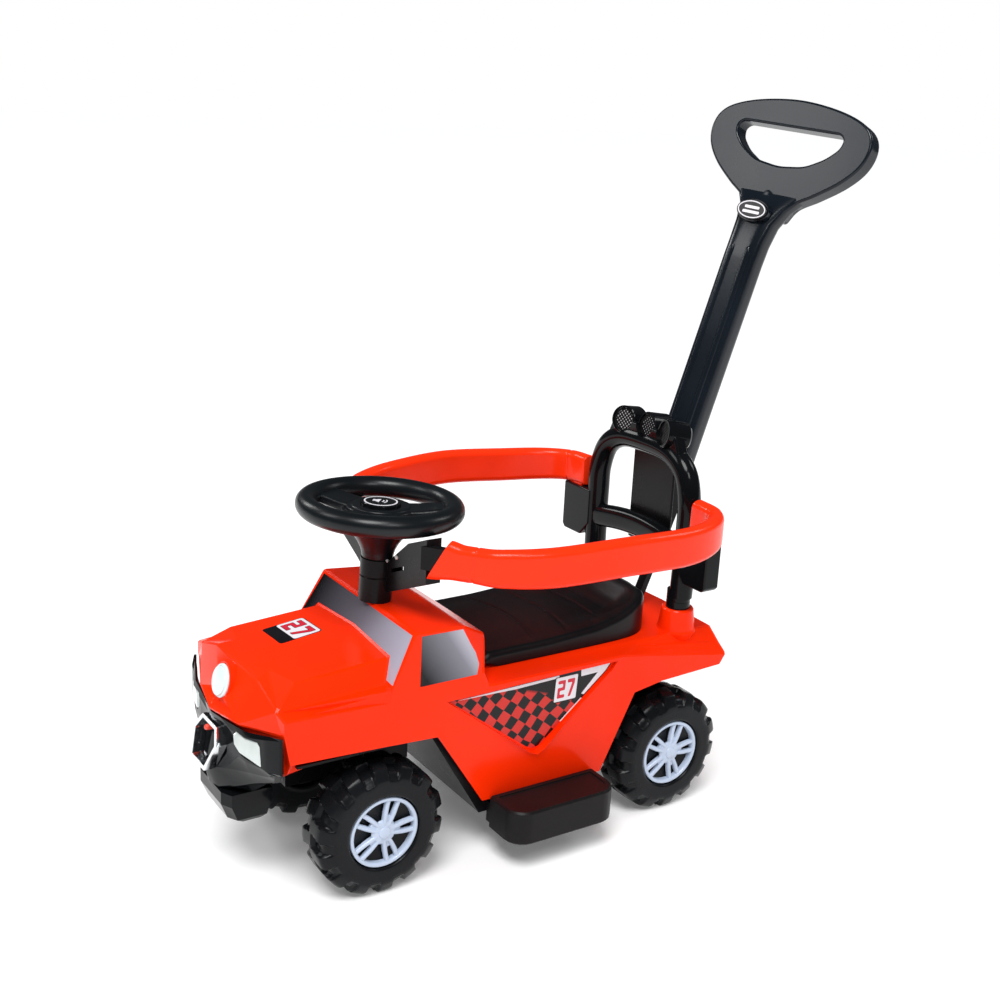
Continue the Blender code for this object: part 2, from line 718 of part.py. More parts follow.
def chassis():
    """Belly tub with wheel-house plates, a front box, a rear spine, sleeves and bosses."""
    frame = prism(TUB_OUTLINE, -TUB_HALF_WIDTH, TUB_HALF_WIDTH)
    inside = [(-0.0602, 0.0480), (0.0962, 0.0480), (0.1332, 0.1700), (-0.1330, 0.1700)]
    cut(frame, prism(inside, -TUB_HALF_WIDTH + WALL, TUB_HALF_WIDTH - WALL))
    join(frame, block((-0.100, -0.292, PLATE_Z), (0.100, -0.1300, PLATE_TOP_Z)))
    join(frame, block((-0.090, 0.1325, PLATE_Z), (0.090, 0.2300, PLATE_TOP_Z)))
    nose_box = block((-0.036, -0.2770, SLEEVE_LOW_Z), (0.036, -0.1240, PLATE_Z + 0.0010))
    spine = block((-SPINE_HALF_WIDTH, 0.1270, 0.0560), (SPINE_HALF_WIDTH, 0.2300, PLATE_Z + 0.0012))
    join(frame, nose_box)
    join(frame, spine)
    cut(frame, block((-0.033, -0.2740, 0.0900), (0.033, -0.1330, PLATE_Z)))
    cut(frame, block((-SPINE_HALF_WIDTH + WALL, 0.1400, 0.0500),
                     (SPINE_HALF_WIDTH - WALL, 0.2270, PLATE_Z)))
    for side in (1, -1):
        axle_boss = turn(rod(0.0105, 0.040, 0.0685, 16), 90, "Y")
        pieces = [
            shift(axle_boss, 0.0, REAR_AXLE_Y, AXLE_Z),
            block((0.0145, -0.2920, 0.1493), (0.0320, -0.2760, PLATE_Z + 0.0014)),
            block((0.0965, -0.0450, 0.0680), (0.1040, 0.0850, 0.0710)),
            shift(rod(0.0110, SLEEVE_LOW_Z + 0.0002, PLATE_Z + 0.0016, 16), KINGPIN_X, FRONT_AXLE_Y),
            block((0.0350, FRONT_AXLE_Y - 0.0021, 0.1100), (0.0450, FRONT_AXLE_Y + 0.0021, 0.1598)),
            shift(rod(0.0060, PLATE_TOP_Z - 0.0010, 0.2165, 10), 0.050, 0.165),
        ]
        for piece in pieces:
            if side < 0:
                bmesh_flip(piece)
            join(frame, piece)
    join(frame, block((-0.0345, -0.1640, 0.1300), (0.0345, -0.1605, PLATE_Z + 0.0018)))
    join(frame, on_column(rod(0.0110, -0.1660, -0.1290, 16)))
    for side in (1, -1):
        cut(frame, shift(rod(AXLE_RADIUS + BORE_PLAY, 0.09, 0.18, 14), side * KINGPIN_X, FRONT_AXLE_Y))
        bore = turn(rod(AXLE_RADIUS + GAP, 0.030, 0.080, 14), 90, "Y")
        shift(bore, 0.0, REAR_AXLE_Y, AXLE_Z)
        if side < 0:
            bmesh_flip(bore)
        cut(frame, bore)
    return cut(frame, on_column(rod(AXLE_RADIUS + BORE_PLAY, -0.20, -0.10, 14)))


STEP_INNER_X = 0.1095
STEP_OUTER_X = 0.1660
STEP_FRONT_Y = -0.056
STEP_REAR_Y = 0.090
STEP_TOP_Z = 0.0715
STEP_LOW_Z = 0.030


def step_outline(inset):
    """Plan of a footboard, with its two outer corners rounded."""
    radius = 0.024 - inset
    outer = STEP_OUTER_X - inset
    front = STEP_FRONT_Y + inset
    rear = STEP_REAR_Y - inset
    points = [(STEP_INNER_X + inset, front)]
    points += arc(outer - radius, front + radius, radius, -90, 0, 6)
    points += arc(outer - radius, rear - radius, radius, 0, 90, 6)
    points.append((STEP_INNER_X + inset, rear))
    return points


def footboard():
    board = prism(step_outline(0.0), STEP_LOW_Z, STEP_TOP_Z, "Z")
    bevelled(board, 0.0024, 1, 50)
    cut(board, prism(step_outline(WALL), 0.0, STEP_TOP_Z - 0.0045, "Z"))
    cut(board, prism(step_outline(0.008), STEP_TOP_Z - 0.0015, 0.1, "Z"))
    join(board, block((TUB_HALF_WIDTH + GAP, STEP_FRONT_Y + 0.0043, STEP_LOW_Z + 0.0030),
                      (STEP_INNER_X + 0.0015, STEP_REAR_Y - 0.0043, 0.0580)))
    return board


name_piece(chassis(), "chassis", BLACK, CAR)
LEFT_STEP = name_piece(footboard(), "footboard_left", BLACK, CAR)
name_piece(mirror_copy(LEFT_STEP), "footboard_right", BLACK, CAR)


# Wheels

def tyre():
    """Blow-moulded tyre on the Z axis, outer side up, hollow and open at its bore."""
    half = TYRE_WIDTH / 2
    count = LUGS * STEPS_PER_LUG
    groove = TYRE_RADIUS - 0.0060
    rows = (
        (0.0630, 0.0630, half, 0),
        (groove - 0.0010, TYRE_RADIUS, half - 0.0085, 0),
        (groove, TYRE_RADIUS, 0.0020, 0),
        (groove, TYRE_RADIUS, -0.0020, 2),
        (groove - 0.0010, TYRE_RADIUS, -half + 0.0085, 2),
        (0.0630, 0.0630, -half, 2),
    )
    rings = []
    for low, high, height, delay in rows:
        ring = []
        for k in range(count):
            radius = high if (k + delay) % STEPS_PER_LUG in (0, 3) else low
            angle = 2 * math.pi * (k + 0.5) / count
            ring.append((radius * math.cos(angle), radius * math.sin(angle), height))
        rings.append(ring)
    wheel = loft(rings)
    floor = HUB_FLOOR - WALL
    cavity = [(0.0, -floor), (0.0, floor), (0.0458, floor), (0.0475, half - WALL),
              (0.0620, half - WALL), (0.0680, 0.0), (0.0620, -half + WALL),
              (0.0450, -half + WALL), (0.0430, -floor)]
    cut(wheel, turned(cavity, 8))
    cut(wheel, turned([(0.0, HUB_FLOOR), (0.0420, HUB_FLOOR), (0.0430, 0.04), (0.0, 0.04)], 20))
    cut(wheel, turned([(0.0, -0.04), (0.0400, -0.04), (0.0380, -HUB_FLOOR), (0.0, -HUB_FLOOR)], 12))
    return cut(wheel, rod(AXLE_RADIUS + BORE_PLAY, -0.03, 0.03, 8))


def hubcap():
    """Spoked hub cap on the Z axis: rim, cupped middle and five pairs of spokes."""
    low = HUB_FLOOR + GAP
    cap = turned([(0.0360, low), (0.0368, 0.0272), (HUBCAP_RADIUS, 0.0272), (HUBCAP_RADIUS, low)], 20)
    middle = turned([(0.0, 0.0265), (0.0095, 0.0252), (0.0095, low), (0.0125, low),
                     (0.0120, 0.0268), (0.0, 0.0290)], 10)
    join(cap, middle)
    for spoke in range(SPOKES):
        for offset in (-0.0052, 0.0052):
            bar = loft([[(0.0107, offset * 0.8 - 0.0022, low + 0.0014),
                         (0.0107, offset * 0.8 + 0.0022, low + 0.0014),
                         (0.0107, offset * 0.8 + 0.0018, 0.0262),
                         (0.0107, offset * 0.8 - 0.0018, 0.0262)],
                        [(0.0378, offset * 1.3 - 0.0022, low + 0.0014),
                         (0.0378, offset * 1.3 + 0.0022, low + 0.0014),
                         (0.0378, offset * 1.3 + 0.0018, 0.0256),
                         (0.0378, offset * 1.3 - 0.0018, 0.0256)]])
            join(cap, turn(bar, 18 + 72 * spoke, "Z"))
    return cap


def push_nut():
    """Pressed cap nut that closes an axle end."""
    low = HUB_FLOOR + GAP
    return turned([(AXLE_RADIUS, low), (0.0080, low), (0.0080, low + 0.0009),
                   (0.0055, low + 0.0024), (AXLE_RADIUS, low + 0.0024)], 10)


def on_wheel(item, side, axle_y):
    """Turn a shape made on the Z axis outwards and place it at a wheel."""
    turn(item, 90 * side, "Y")
    return shift(item, side * TYRE_MIDDLE_X, axle_y, AXLE_Z)


def wheel_pivots():
    """Empties on the kingpins and the wheel axes, with each wheel's side and axle."""
    pivots = {}
    for side, side_name in ((1, "left"), (-1, "right")):
        kingpin = pivot("kingpin_axis_" + side_name, (side * KINGPIN_X, FRONT_AXLE_Y, AXLE_Z), CAR)
        pivots["kingpin_" + side_name] = kingpin
        reach = side * (TYRE_MIDDLE_X - KINGPIN_X)
        pivots["front_" + side_name] = pivot("wheel_axis_front_" + side_name, (reach, 0, 0), kingpin)
        pivots["rear_" + side_name] = pivot("wheel_axis_rear_" + side_name,
                                            (side * TYRE_MIDDLE_X, REAR_AXLE_Y, AXLE_Z), CAR)
    return pivots


PIVOTS = wheel_pivots()


def wheels():
    for end, axle_y in (("front", FRONT_AXLE_Y), ("rear", REAR_AXLE_Y)):
        for side, side_name in ((1, "left"), (-1, "right")):
            place = end + "_" + side_name
            carrier = PIVOTS["kingpin_" + side_name] if end == "front" else CAR
            name_piece(on_wheel(tyre(), side, axle_y), "tyre_" + place, BLACK_SOFT, PIVOTS[place])
            name_piece(on_wheel(hubcap(), side, axle_y), "hubcap_" + place, SILVER, PIVOTS[place])
            name_piece(on_wheel(push_nut(), side, axle_y), "push_nut_" + place, STEEL, carrier)


wheels()


# Axles and steering linkage

def rear_axle():
    axle = turn(rod(AXLE_RADIUS - GAP, -AXLE_END_X, AXLE_END_X, 12), 90, "Y")
    return shift(axle, 0.0, REAR_AXLE_Y, AXLE_Z)


def steering_knuckle():
    """Left knuckle: stub axle, kingpin, washer collar and steering arm, welded in one."""
    knuckle = turned([(0.0, AXLE_Z - 0.0052), (0.0041, AXLE_Z - 0.0052), (0.0040, 0.0880),
                      (0.0075, 0.0880), (0.0075, SLEEVE_LOW_Z - GAP),
                      (0.0040, SLEEVE_LOW_Z - GAP), (0.0040, 0.1665), (0.0, 0.1665)], 10)
    shift(knuckle, KINGPIN_X, FRONT_AXLE_Y)
    stub = turned([(0.0, KINGPIN_X - 0.0010), (AXLE_RADIUS - GAP, KINGPIN_X - 0.0010),
                   (AXLE_RADIUS - GAP, 0.0670), (0.0080, 0.0670), (0.0080, 0.0687),
                   (AXLE_RADIUS - GAP, 0.0687), (AXLE_RADIUS - GAP, AXLE_END_X),
                   (0.0, AXLE_END_X)], 10)
    join(knuckle, shift(turn(stub, 90, "Y"), 0.0, FRONT_AXLE_Y, AXLE_Z))
    arm_end_y = FRONT_AXLE_Y + STEERING_ARM
    outline = [(KINGPIN_X - 0.0066, FRONT_AXLE_Y + 0.0012),
               (KINGPIN_X - 0.0045, arm_end_y + 0.0030), (KINGPIN_X, arm_end_y + 0.0055),
               (KINGPIN_X + 0.0045, arm_end_y + 0.0030),
               (KINGPIN_X + 0.0066, FRONT_AXLE_Y + 0.0012)]
    join(knuckle, prism(outline, 0.0886, 0.0940, "Z"))
    return join(knuckle, shift(rod(0.0020, 0.0920, 0.1025, 8), KINGPIN_X, arm_end_y))


def kingpin_nut():
    bore = AXLE_RADIUS + GAP
    nut = turned([(bore, 0.0), (0.0080, 0.0), (0.0080, 0.0010), (0.0055, 0.0026), (bore, 0.0026)], 10)
    return shift(nut, KINGPIN_X, FRONT_AXLE_Y, PLATE_TOP_Z + GAP)


def tie_rod():
    """Flat bar with a slot for each knuckle pin and one for the crank pin."""
    pin_y = FRONT_AXLE_Y + STEERING_ARM
    outline = [(-0.0590, pin_y - 0.0080), (0.0590, pin_y - 0.0080), (0.0590, pin_y + 0.0070),
               (0.0160, pin_y + 0.0070), (0.0120, -0.1330), (-0.0120, -0.1330),
               (-0.0160, pin_y + 0.0070), (-0.0590, pin_y + 0.0070)]
    bar = prism(outline, 0.0960, 0.1000, "Z")
    for x in (KINGPIN_X, -KINGPIN_X):
        cut(bar, block((x - 0.0032, pin_y - 0.0050, 0.09), (x + 0.0032, pin_y + 0.0030, 0.11)))
    return cut(bar, block((-0.0034, -0.1480, 0.09), (0.0034, -0.1365, 0.11)))


def steering_shaft():
    """Bent steel shaft on the column axis, with a crank pin behind it."""
    shaft = rod(AXLE_RADIUS, -0.1830, 0.0930, 12)
    join(shaft, block((-0.0050, -0.0045, -0.1830), (0.0050, CRANK_RADIUS + 0.0045, -0.1785)))
    pin = shift(rod(0.0022, -0.1952, -0.1800, 10), 0.0, CRANK_RADIUS)
    return on_column(join(shaft, pin))


name_piece(rear_axle(), "rear_axle", STEEL, CAR)
LEFT_KNUCKLE = steering_knuckle()
RIGHT_KNUCKLE = mirror_copy(LEFT_KNUCKLE)
LEFT_KING_NUT = kingpin_nut()
RIGHT_KING_NUT = mirror_copy(LEFT_KING_NUT)
name_piece(LEFT_KNUCKLE, "steering_knuckle_left", STEEL, PIVOTS["kingpin_left"])
name_piece(RIGHT_KNUCKLE, "steering_knuckle_right", STEEL, PIVOTS["kingpin_right"])
name_piece(LEFT_KING_NUT, "kingpin_nut_left", STEEL, PIVOTS["kingpin_left"])
name_piece(RIGHT_KING_NUT, "kingpin_nut_right", STEEL, PIVOTS["kingpin_right"])
TIE_PIVOT = pivot("tie_rod_slide", (0.0, FRONT_AXLE_Y + STEERING_ARM, 0.098), CAR)
name_piece(tie_rod(), "tie_rod", STEEL, TIE_PIVOT)
COLUMN_PIVOT = pivot("steering_axis", COLUMN_FOOT, CAR, (-COLUMN_LEAN, 0.0, 0.0))
name_piece(steering_shaft(), "steering_shaft", STEEL, COLUMN_PIVOT)


# Column bracket, steering wheel and horn button

SLEEVE_RADIUS = 0.0190
SLEEVE_TOP = 0.0530
ROOF_RIDGE_Z = 0.2922
SPOKE_ANGLES = (-43.0, 64.0, -150.0)
RIM_STEPS = 28


def column_bracket():
    """Column sleeve on the cab roof with an arm out to each guard rail."""
    sleeve = turned([(0.0, -0.0250), (SLEEVE_RADIUS, -0.0250), (SLEEVE_RADIUS, 0.0315),
                     (SLEEVE_RADIUS - 0.0008, 0.0325), (SLEEVE_RADIUS, 0.0335),
                     (SLEEVE_RADIUS, SLEEVE_TOP), (0.0, SLEEVE_TOP)], 20)
    bracket = on_column(sleeve)
    roof = [(-0.300, 0.100), (-0.300, ROOF_RIDGE_Z), (-0.161, ROOF_RIDGE_Z),
            (-0.060, ROOF_RIDGE_Z - 0.101 * 0.2211), (-0.060, 0.100)]
    cut(bracket, prism(roof, -0.05, 0.05))
    for side in (1, -1):
        rings = []
        for x, y, low, high, half in ((0.0110, -0.1400, 0.3010, 0.3350, 0.0070),
                                      (0.0230, -0.1390, 0.3060, 0.3430, 0.0075),
                                      (0.0380, -0.1378, 0.3125, 0.3560, 0.0080),
                                      (0.0600, -0.1362, 0.3220, 0.3740, 0.0085),
                                      (0.0850, -0.1352, 0.3330, 0.3842, 0.0090),
                                      (0.0985, -0.1350, 0.3390, 0.3900, 0.0090)):
            rings.append([(x, y - half, low), (x, y + half, low),
                          (x, y + half, high), (x, y - half, high)])
        arm = loft(rings)
        slit = loft([[(0.0265, y, 0.3300), (0.0520, y, 0.3410), (0.0520, y, 0.3455),
                      (0.0265, y, 0.3345)] for y in (-0.16, -0.12)])
        cut(arm, slit)
        tongue = loft([[(x, y - 0.0048, 0.3590), (x, y + 0.0048, 0.3590),
                        (x, y + 0.0048, 0.3810), (x, y - 0.0048, 0.3810)]
                       for x, y in ((0.0960, -0.1420), (0.1170, -0.1262))])
        join(arm, tongue)
        if side < 0:
            bmesh_flip(arm)
        join(bracket, arm)
    return cut(bracket, on_column(rod(AXLE_RADIUS + BORE_PLAY, -0.02, 0.08, 12)))


def steering_wheel():
    """Dished boss on a funnel neck, three spokes and a round rim."""
    rise = WHEEL_HUB_RISE + 0.004
    wheel = turned([(0.0, SLEEVE_TOP + GAP), (0.0178, SLEEVE_TOP + GAP), (0.0200, 0.0640),
                    (0.0300, 0.0800), (0.0420, 0.0960), (0.0425, 0.1075), (0.0385, 0.1080),
                    (0.0370, 0.1115), (0.0320, 0.1140), (0.0, 0.1140)], 20)
    turns = [2 * math.pi * k / RIM_STEPS for k in range(RIM_STEPS)]
    circle = [Vector((RIM_RADIUS * math.cos(t), RIM_RADIUS * math.sin(t), rise)) for t in turns]
    rim = hoop(sweep_rings(circle, section(RIM_TUBE, RIM_TUBE, 8), Vector((0, 0, 1)), True))
    for angle, inner, outer in zip(SPOKE_ANGLES, (0.030, 0.020, 0.020), (0.040, 0.017, 0.017)):
        spoke = loft([[(r, -half, rise + drop - 0.0075), (r, half, rise + drop - 0.0075),
                       (r, half * 0.9, rise + drop + 0.0035), (r, -half * 0.9, rise + drop + 0.0035)]
                      for r, half, drop in ((0.030, inner, -0.004), (0.060, (inner + outer) / 2, -0.001),
                                            (0.0800, outer, 0.0))])
        join(wheel, turn(spoke, angle, "Z"))
    join(wheel, rim)
    cut(wheel, rod(0.0226, 0.1050, 0.13, 16))
    cut(wheel, rod(AXLE_RADIUS + GAP, 0.0, 0.0950, 12))
    return on_column(wheel)


def horn_button():
    cap = turned([(0.0, 0.1085), (0.0223, 0.1085), (0.0223, 0.1165),
                  (0.0205, 0.1178), (0.0, 0.1184)], 16)
    return on_column(cap)


name_piece(column_bracket(), "column_bracket", BLACK, CAR)
name_piece(steering_wheel(), "steering_wheel", BLACK, COLUMN_PIVOT)
BUTTON_PIVOT = pivot("horn_button_slide", (0.0, 0.0, 0.1085), COLUMN_PIVOT)
name_piece(horn_button(), "horn_button", BLACK, BUTTON_PIVOT)


# Seat and its hinge pin

SEAT_LOW_Z = 0.2206
EAR_PLAY = 0.0008
EAR_SLOT = ((-0.0600, 0.2200), (-0.0600, 0.2400), (-0.0545, 0.2400), (-0.0545, 0.2335),
            (-0.0520, 0.2345), (-0.0490, 0.2350), (-0.0445, 0.2335), (-0.0430, 0.2300),
            (-0.0430, 0.2200))
SEAT_STATIONS = (
    (-0.0580, 0.0865, 0.2262, 0.2322, 0.2324),
    (-0.0555, 0.0875, 0.2262, 0.2350, 0.2355),
    (-0.0500, 0.0880, 0.2262, 0.2378, 0.2395),
    (-0.0380, 0.0880, SEAT_LOW_Z, 0.2385, 0.2405),
    (0.0300, 0.0885, SEAT_LOW_Z, 0.2390, 0.2400),
    (0.1000, 0.0885, SEAT_LOW_Z, 0.2430, 0.2390),
    (0.1350, 0.0875, SEAT_LOW_Z, 0.2490, 0.2405),
    (0.1600, 0.0840, SEAT_LOW_Z, 0.2570, 0.2450),
    (0.1740, 0.0780, SEAT_LOW_Z, 0.2620, 0.2540),
    (0.1850, 0.0690, SEAT_LOW_Z, 0.2645, 0.2650),
    (0.1930, 0.0580, SEAT_LOW_Z, 0.2640, 0.2670),
    (0.1990, 0.0440, SEAT_LOW_Z, 0.2590, 0.2610),
    (0.2020, 0.0330, SEAT_LOW_Z, 0.2480, 0.2490),
)


def seat_sections(inset):
    """Cross-sections of the seat from front to rear, drawn in by an inset."""
    rings = []
    last = len(SEAT_STATIONS) - 1
    for k, (y, half, low, edge, middle) in enumerate(SEAT_STATIONS):
        w = half - inset
        y_in = y + inset if k == 0 else (y - inset if k == last else y)
        bottom = low if inset == 0.0 else low - 0.01
        e = edge - inset
        m = middle - inset
        rings.append([(w, y_in, bottom), (w, y_in, e - 0.005), (w - 0.005, y_in, e),
                      (w * 0.78, y_in, e * 0.7 + m * 0.3), (w * 0.42, y_in, m), (-w * 0.42, y_in, m),
                      (-w * 0.78, y_in, e * 0.7 + m * 0.3), (-w + 0.005, y_in, e),
                      (-w, y_in, e - 0.005), (-w, y_in, bottom)])
    return rings


def seat():
    """Saddle shell with hinge lugs, and slots in its front edge that let it swing past the ears."""
    cushion = loft(seat_sections(0.0))
    cut(cushion, loft(seat_sections(WALL)))
    for side in (1, -1):
        lug = block((HINGE_LUG_X[0], -0.0560, 0.2262), (HINGE_LUG_X[1], -0.0440, 0.2370))
        slot = prism(EAR_SLOT, HINGE_EAR_X[0] - EAR_PLAY, HINGE_EAR_X[1] + EAR_PLAY)
        if side < 0:
            bmesh_flip(lug)
            bmesh_flip(slot)
        join(cushion, lug)
        cut(cushion, slot)
    return cut(cushion, seat_axis_rod(HINGE_PIN_RADIUS + GAP, 0.075))


SEAT_PIVOT = pivot("seat_hinge_axis", SEAT_AXIS, CAR)
name_piece(seat(), "seat", BLACK, SEAT_PIVOT)
name_piece(seat_axis_rod(HINGE_PIN_RADIUS, 0.0740), "seat_hinge_pin", STEEL, CAR)


# Backrest with its lamp pods

POD_LENGTH = 0.032
POD_RADIUS = 0.0177
POD_BORE = 0.0152
POD_DEPTH = 0.0270
PODS = ((0.0395, 0.2180, 0.4575, 17.0), (0.0, 0.2240, 0.4575, 0.0), (-0.0395, 0.2180, 0.4575, -17.0))
POD_TILT = 10.0
BACKREST_Y = 0.2260


def on_pod(item, pod):
    """Place a shape made along Z, front face at zero, at a lamp pod of the backrest."""
    x, y, z, fan = pod
    turn(item, 90.0, "X")
    turn(item, -POD_TILT, "X")
    turn(item, -fan, "Z")
    return shift(item, x, y, z)


def backrest():
    half = [Vector((0.0885, BACKREST_Y, 0.262)), Vector((0.0895, BACKREST_Y, 0.300)),
            Vector((0.0900, BACKREST_Y, 0.350)), Vector((0.0885, BACKREST_Y, 0.385)),
            Vector((0.0760, BACKREST_Y + 0.001, 0.416)), Vector((0.0460, BACKREST_Y + 0.002, 0.4335))]
    knots = half + [Vector((0.0, BACKREST_Y + 0.002, 0.4370))]
    knots += [Vector((-p.x, p.y, p.z)) for p in reversed(half)]
    path = smooth_path(knots, 2)
    frame = loft(sweep_rings(path, section(FRAME_TUBE, FRAME_TUBE, 8), Vector((0, 1, 0))))
    bar = loft([[(x, y - 0.0100, low), (x, y + 0.0100, low), (x, y + 0.0110, (low + high) / 2),
                 (x, y + 0.0100, high), (x, y - 0.0100, high), (x, y - 0.0120, (low + high) / 2)]
                for x, y, low, high in ((-0.088, 0.2250, 0.304, 0.336), (-0.045, 0.2285, 0.304, 0.336),
                                        (0.045, 0.2285, 0.304, 0.336), (0.088, 0.2250, 0.304, 0.336))])
    join(frame, bar)
    web = loft([[(x, y, z) for x, z in ((-0.0760, 0.4230), (-0.0600, 0.4580), (0.0600, 0.4580),
                                        (0.0760, 0.4230), (0.0400, 0.4300), (-0.0400, 0.4300))]
                for y in (0.2190, 0.2350)])
    join(frame, web)
    for side in (1, -1):
        leg = shift(rod(0.0147, LEG_FOOT_Z, 0.2700, 18), LEG_X, LEG_Y)
        socket = prism([(0.094, 0.300), (0.106, 0.2860), (0.1400, 0.2860), (0.1450, 0.2910),
                        (0.1450, 0.3520), (0.094, 0.3520)], 0.2105, 0.2335, "Y")
        cut(socket, block((0.1125, 0.2140, 0.3050), (0.1405, 0.2300, 0.36)))
        for piece in (leg, socket):
            if side < 0:
                bmesh_flip(piece)
            join(frame, piece)
    for pod in PODS:
        join(frame, on_pod(rod(POD_RADIUS, -POD_LENGTH, 0.0, 16), pod))
    for pod in PODS:
        cut(frame, on_pod(rod(POD_BORE, -POD_DEPTH, 0.02, 18), pod))
    return frame


def lamp_grille():
    """See-through lattice disc for one lamp pod."""
    disc = tube(POD_BORE - 2 * GAP, POD_BORE - 0.0022, -0.0040, -0.0020, 12)
    for angle, low, high in ((45, -0.0037, -0.0024), (-45, -0.0036, -0.0023)):
        for offset in (-0.0045, 0.0045):
            reach = math.sqrt((POD_BORE - 0.0014) ** 2 - offset ** 2)
            bar = block((-reach, offset - 0.0011, low), (reach, offset + 0.0011, high))
            join(disc, turn(bar, angle, "Z"))
    return disc


name_piece(backrest(), "backrest", BLACK, CAR)
for pod_place, pod_side in zip(PODS, ("left", "middle", "right")):
    name_piece(on_pod(lamp_grille(), pod_place), "lamp_grille_" + pod_side, BLACK, CAR)


# Guard rails

RAIL_KNOTS = (
    (0.1075, -0.1335, 0.3700), (0.1370, -0.1100, 0.3700), (0.1610, -0.0880, 0.3705),
    (0.1840, -0.0350, 0.3720), (0.1950, 0.0500, 0.3740), (0.1880, 0.1400, 0.3760),
    (0.1700, 0.1920, 0.3775), (0.1430, 0.2180, 0.3785), (0.1085, 0.2220, 0.3790),
)


def rail_ring(half_depth, half_height, share):
    """Rounded box section, taller towards the rear end."""
    rise = half_height + 0.0045 * max(0.0, share - 0.6) / 0.4
    d, h, r = half_depth, rise, 0.0040
    return [(d, -h + r), (d, h - r), (d - r, h), (-d + r, h),
            (-d, h - r), (-d, -h + r), (-d + r, -h), (d - r, -h)]


def guardrail():
    path = smooth_path([Vector(knot) for knot in RAIL_KNOTS], 2)
    up = Vector((0, 0, 1))
    rail = loft(sweep_rings(path, lambda t: rail_ring(RAIL_HALF_DEPTH, RAIL_HALF_HEIGHT, t), up))
    hollow = [point.copy() for point in path]
    hollow[0] += (hollow[0] - hollow[1]) * 0.4
    del hollow[-2:]
    deep, high = RAIL_HALF_DEPTH - RAIL_WALL, RAIL_HALF_HEIGHT - RAIL_WALL
    core = loft(sweep_rings(hollow, [(deep, -high), (deep, high), (-deep, high), (-deep, -high)], up))
    cut(rail, core)
    plug = block((0.1130, 0.2145, 0.3080), (0.1400, 0.2295, 0.3700))
    return join(rail, plug)


LEFT_RAIL = guardrail()
RIGHT_RAIL = mirror_copy(LEFT_RAIL)
name_piece(LEFT_RAIL, "guardrail_left", RED, CAR)
name_piece(RIGHT_RAIL, "guardrail_right", RED, CAR)


# Handle socket and push handle

SOCKET_HALF_WIDTH = 0.040
SOCKET_FRONT_Y = 0.2402


def handle_socket():
    """Back panel with a leaning sleeve for the handle's peg and a strut down to the deck."""
    socket = block((-SOCKET_HALF_WIDTH, SOCKET_FRONT_Y, 0.3000),
                   (SOCKET_HALF_WIDTH, SOCKET_FRONT_Y + 0.0038, 0.4250))
    bevelled(socket, 0.0012, 1, 60)
    sleeve = [(0.2425, 0.3100), (0.2610, 0.3140), (0.2720, 0.3420), (0.2880, 0.3980), (0.2425, 0.3980)]
    join(socket, bevelled(prism(sleeve, -0.0200, 0.0200), 0.0035, 1, 60))
    ledge = [(0.2425, 0.3010), (0.2560, 0.3030), (0.2560, 0.3150), (0.2425, 0.3150)]
    join(socket, prism(ledge, -0.0340, 0.0340))
    strut = []
    for y, z in ((STRUT_FOOT_Y, 0.2120), (STRUT_FOOT_Y, 0.2260), (0.2440, 0.2610), (0.2505, 0.3080)):
        strut.append([(-STRUT_HALF_WIDTH, y - 0.0045, z), (STRUT_HALF_WIDTH, y - 0.0045, z),
                      (STRUT_HALF_WIDTH, y + 0.0045, z), (-STRUT_HALF_WIDTH, y + 0.0045, z)])
    join(socket, loft(strut))
    return cut(socket, on_handle(rod(PEG_RADIUS + GAP, PEG_LOW - 0.0005, -0.30, 16)))


def grip_outline():
    """Outer edge of the D grip, seen square on, from neck to neck."""
    half = [(0.0265, 0.0000), (0.0375, 0.0200), (0.0620, 0.0360), (0.0900, 0.0570),
            (0.1085, 0.0790), (0.1145, 0.1020), (0.1080, 0.1220), (0.0880, 0.1355),
            (0.0500, 0.1455)]
    knots = [Vector((x, z, 0)) for x, z in half] + [Vector((0.0, 0.1500, 0))]
    knots += [Vector((-x, z, 0)) for x, z in reversed(half)]
    return [(p.x, p.y) for p in smooth_path(knots, 2)]


def grip_opening():
    half = [(0.0, 0.0655), (0.0350, 0.0700), (0.0600, 0.0840), (0.0735, 0.0980),
            (0.0755, 0.1090), (0.0690, 0.1148)]
    return half + [(-x, z) for x, z in reversed(half) if x > 0.0]


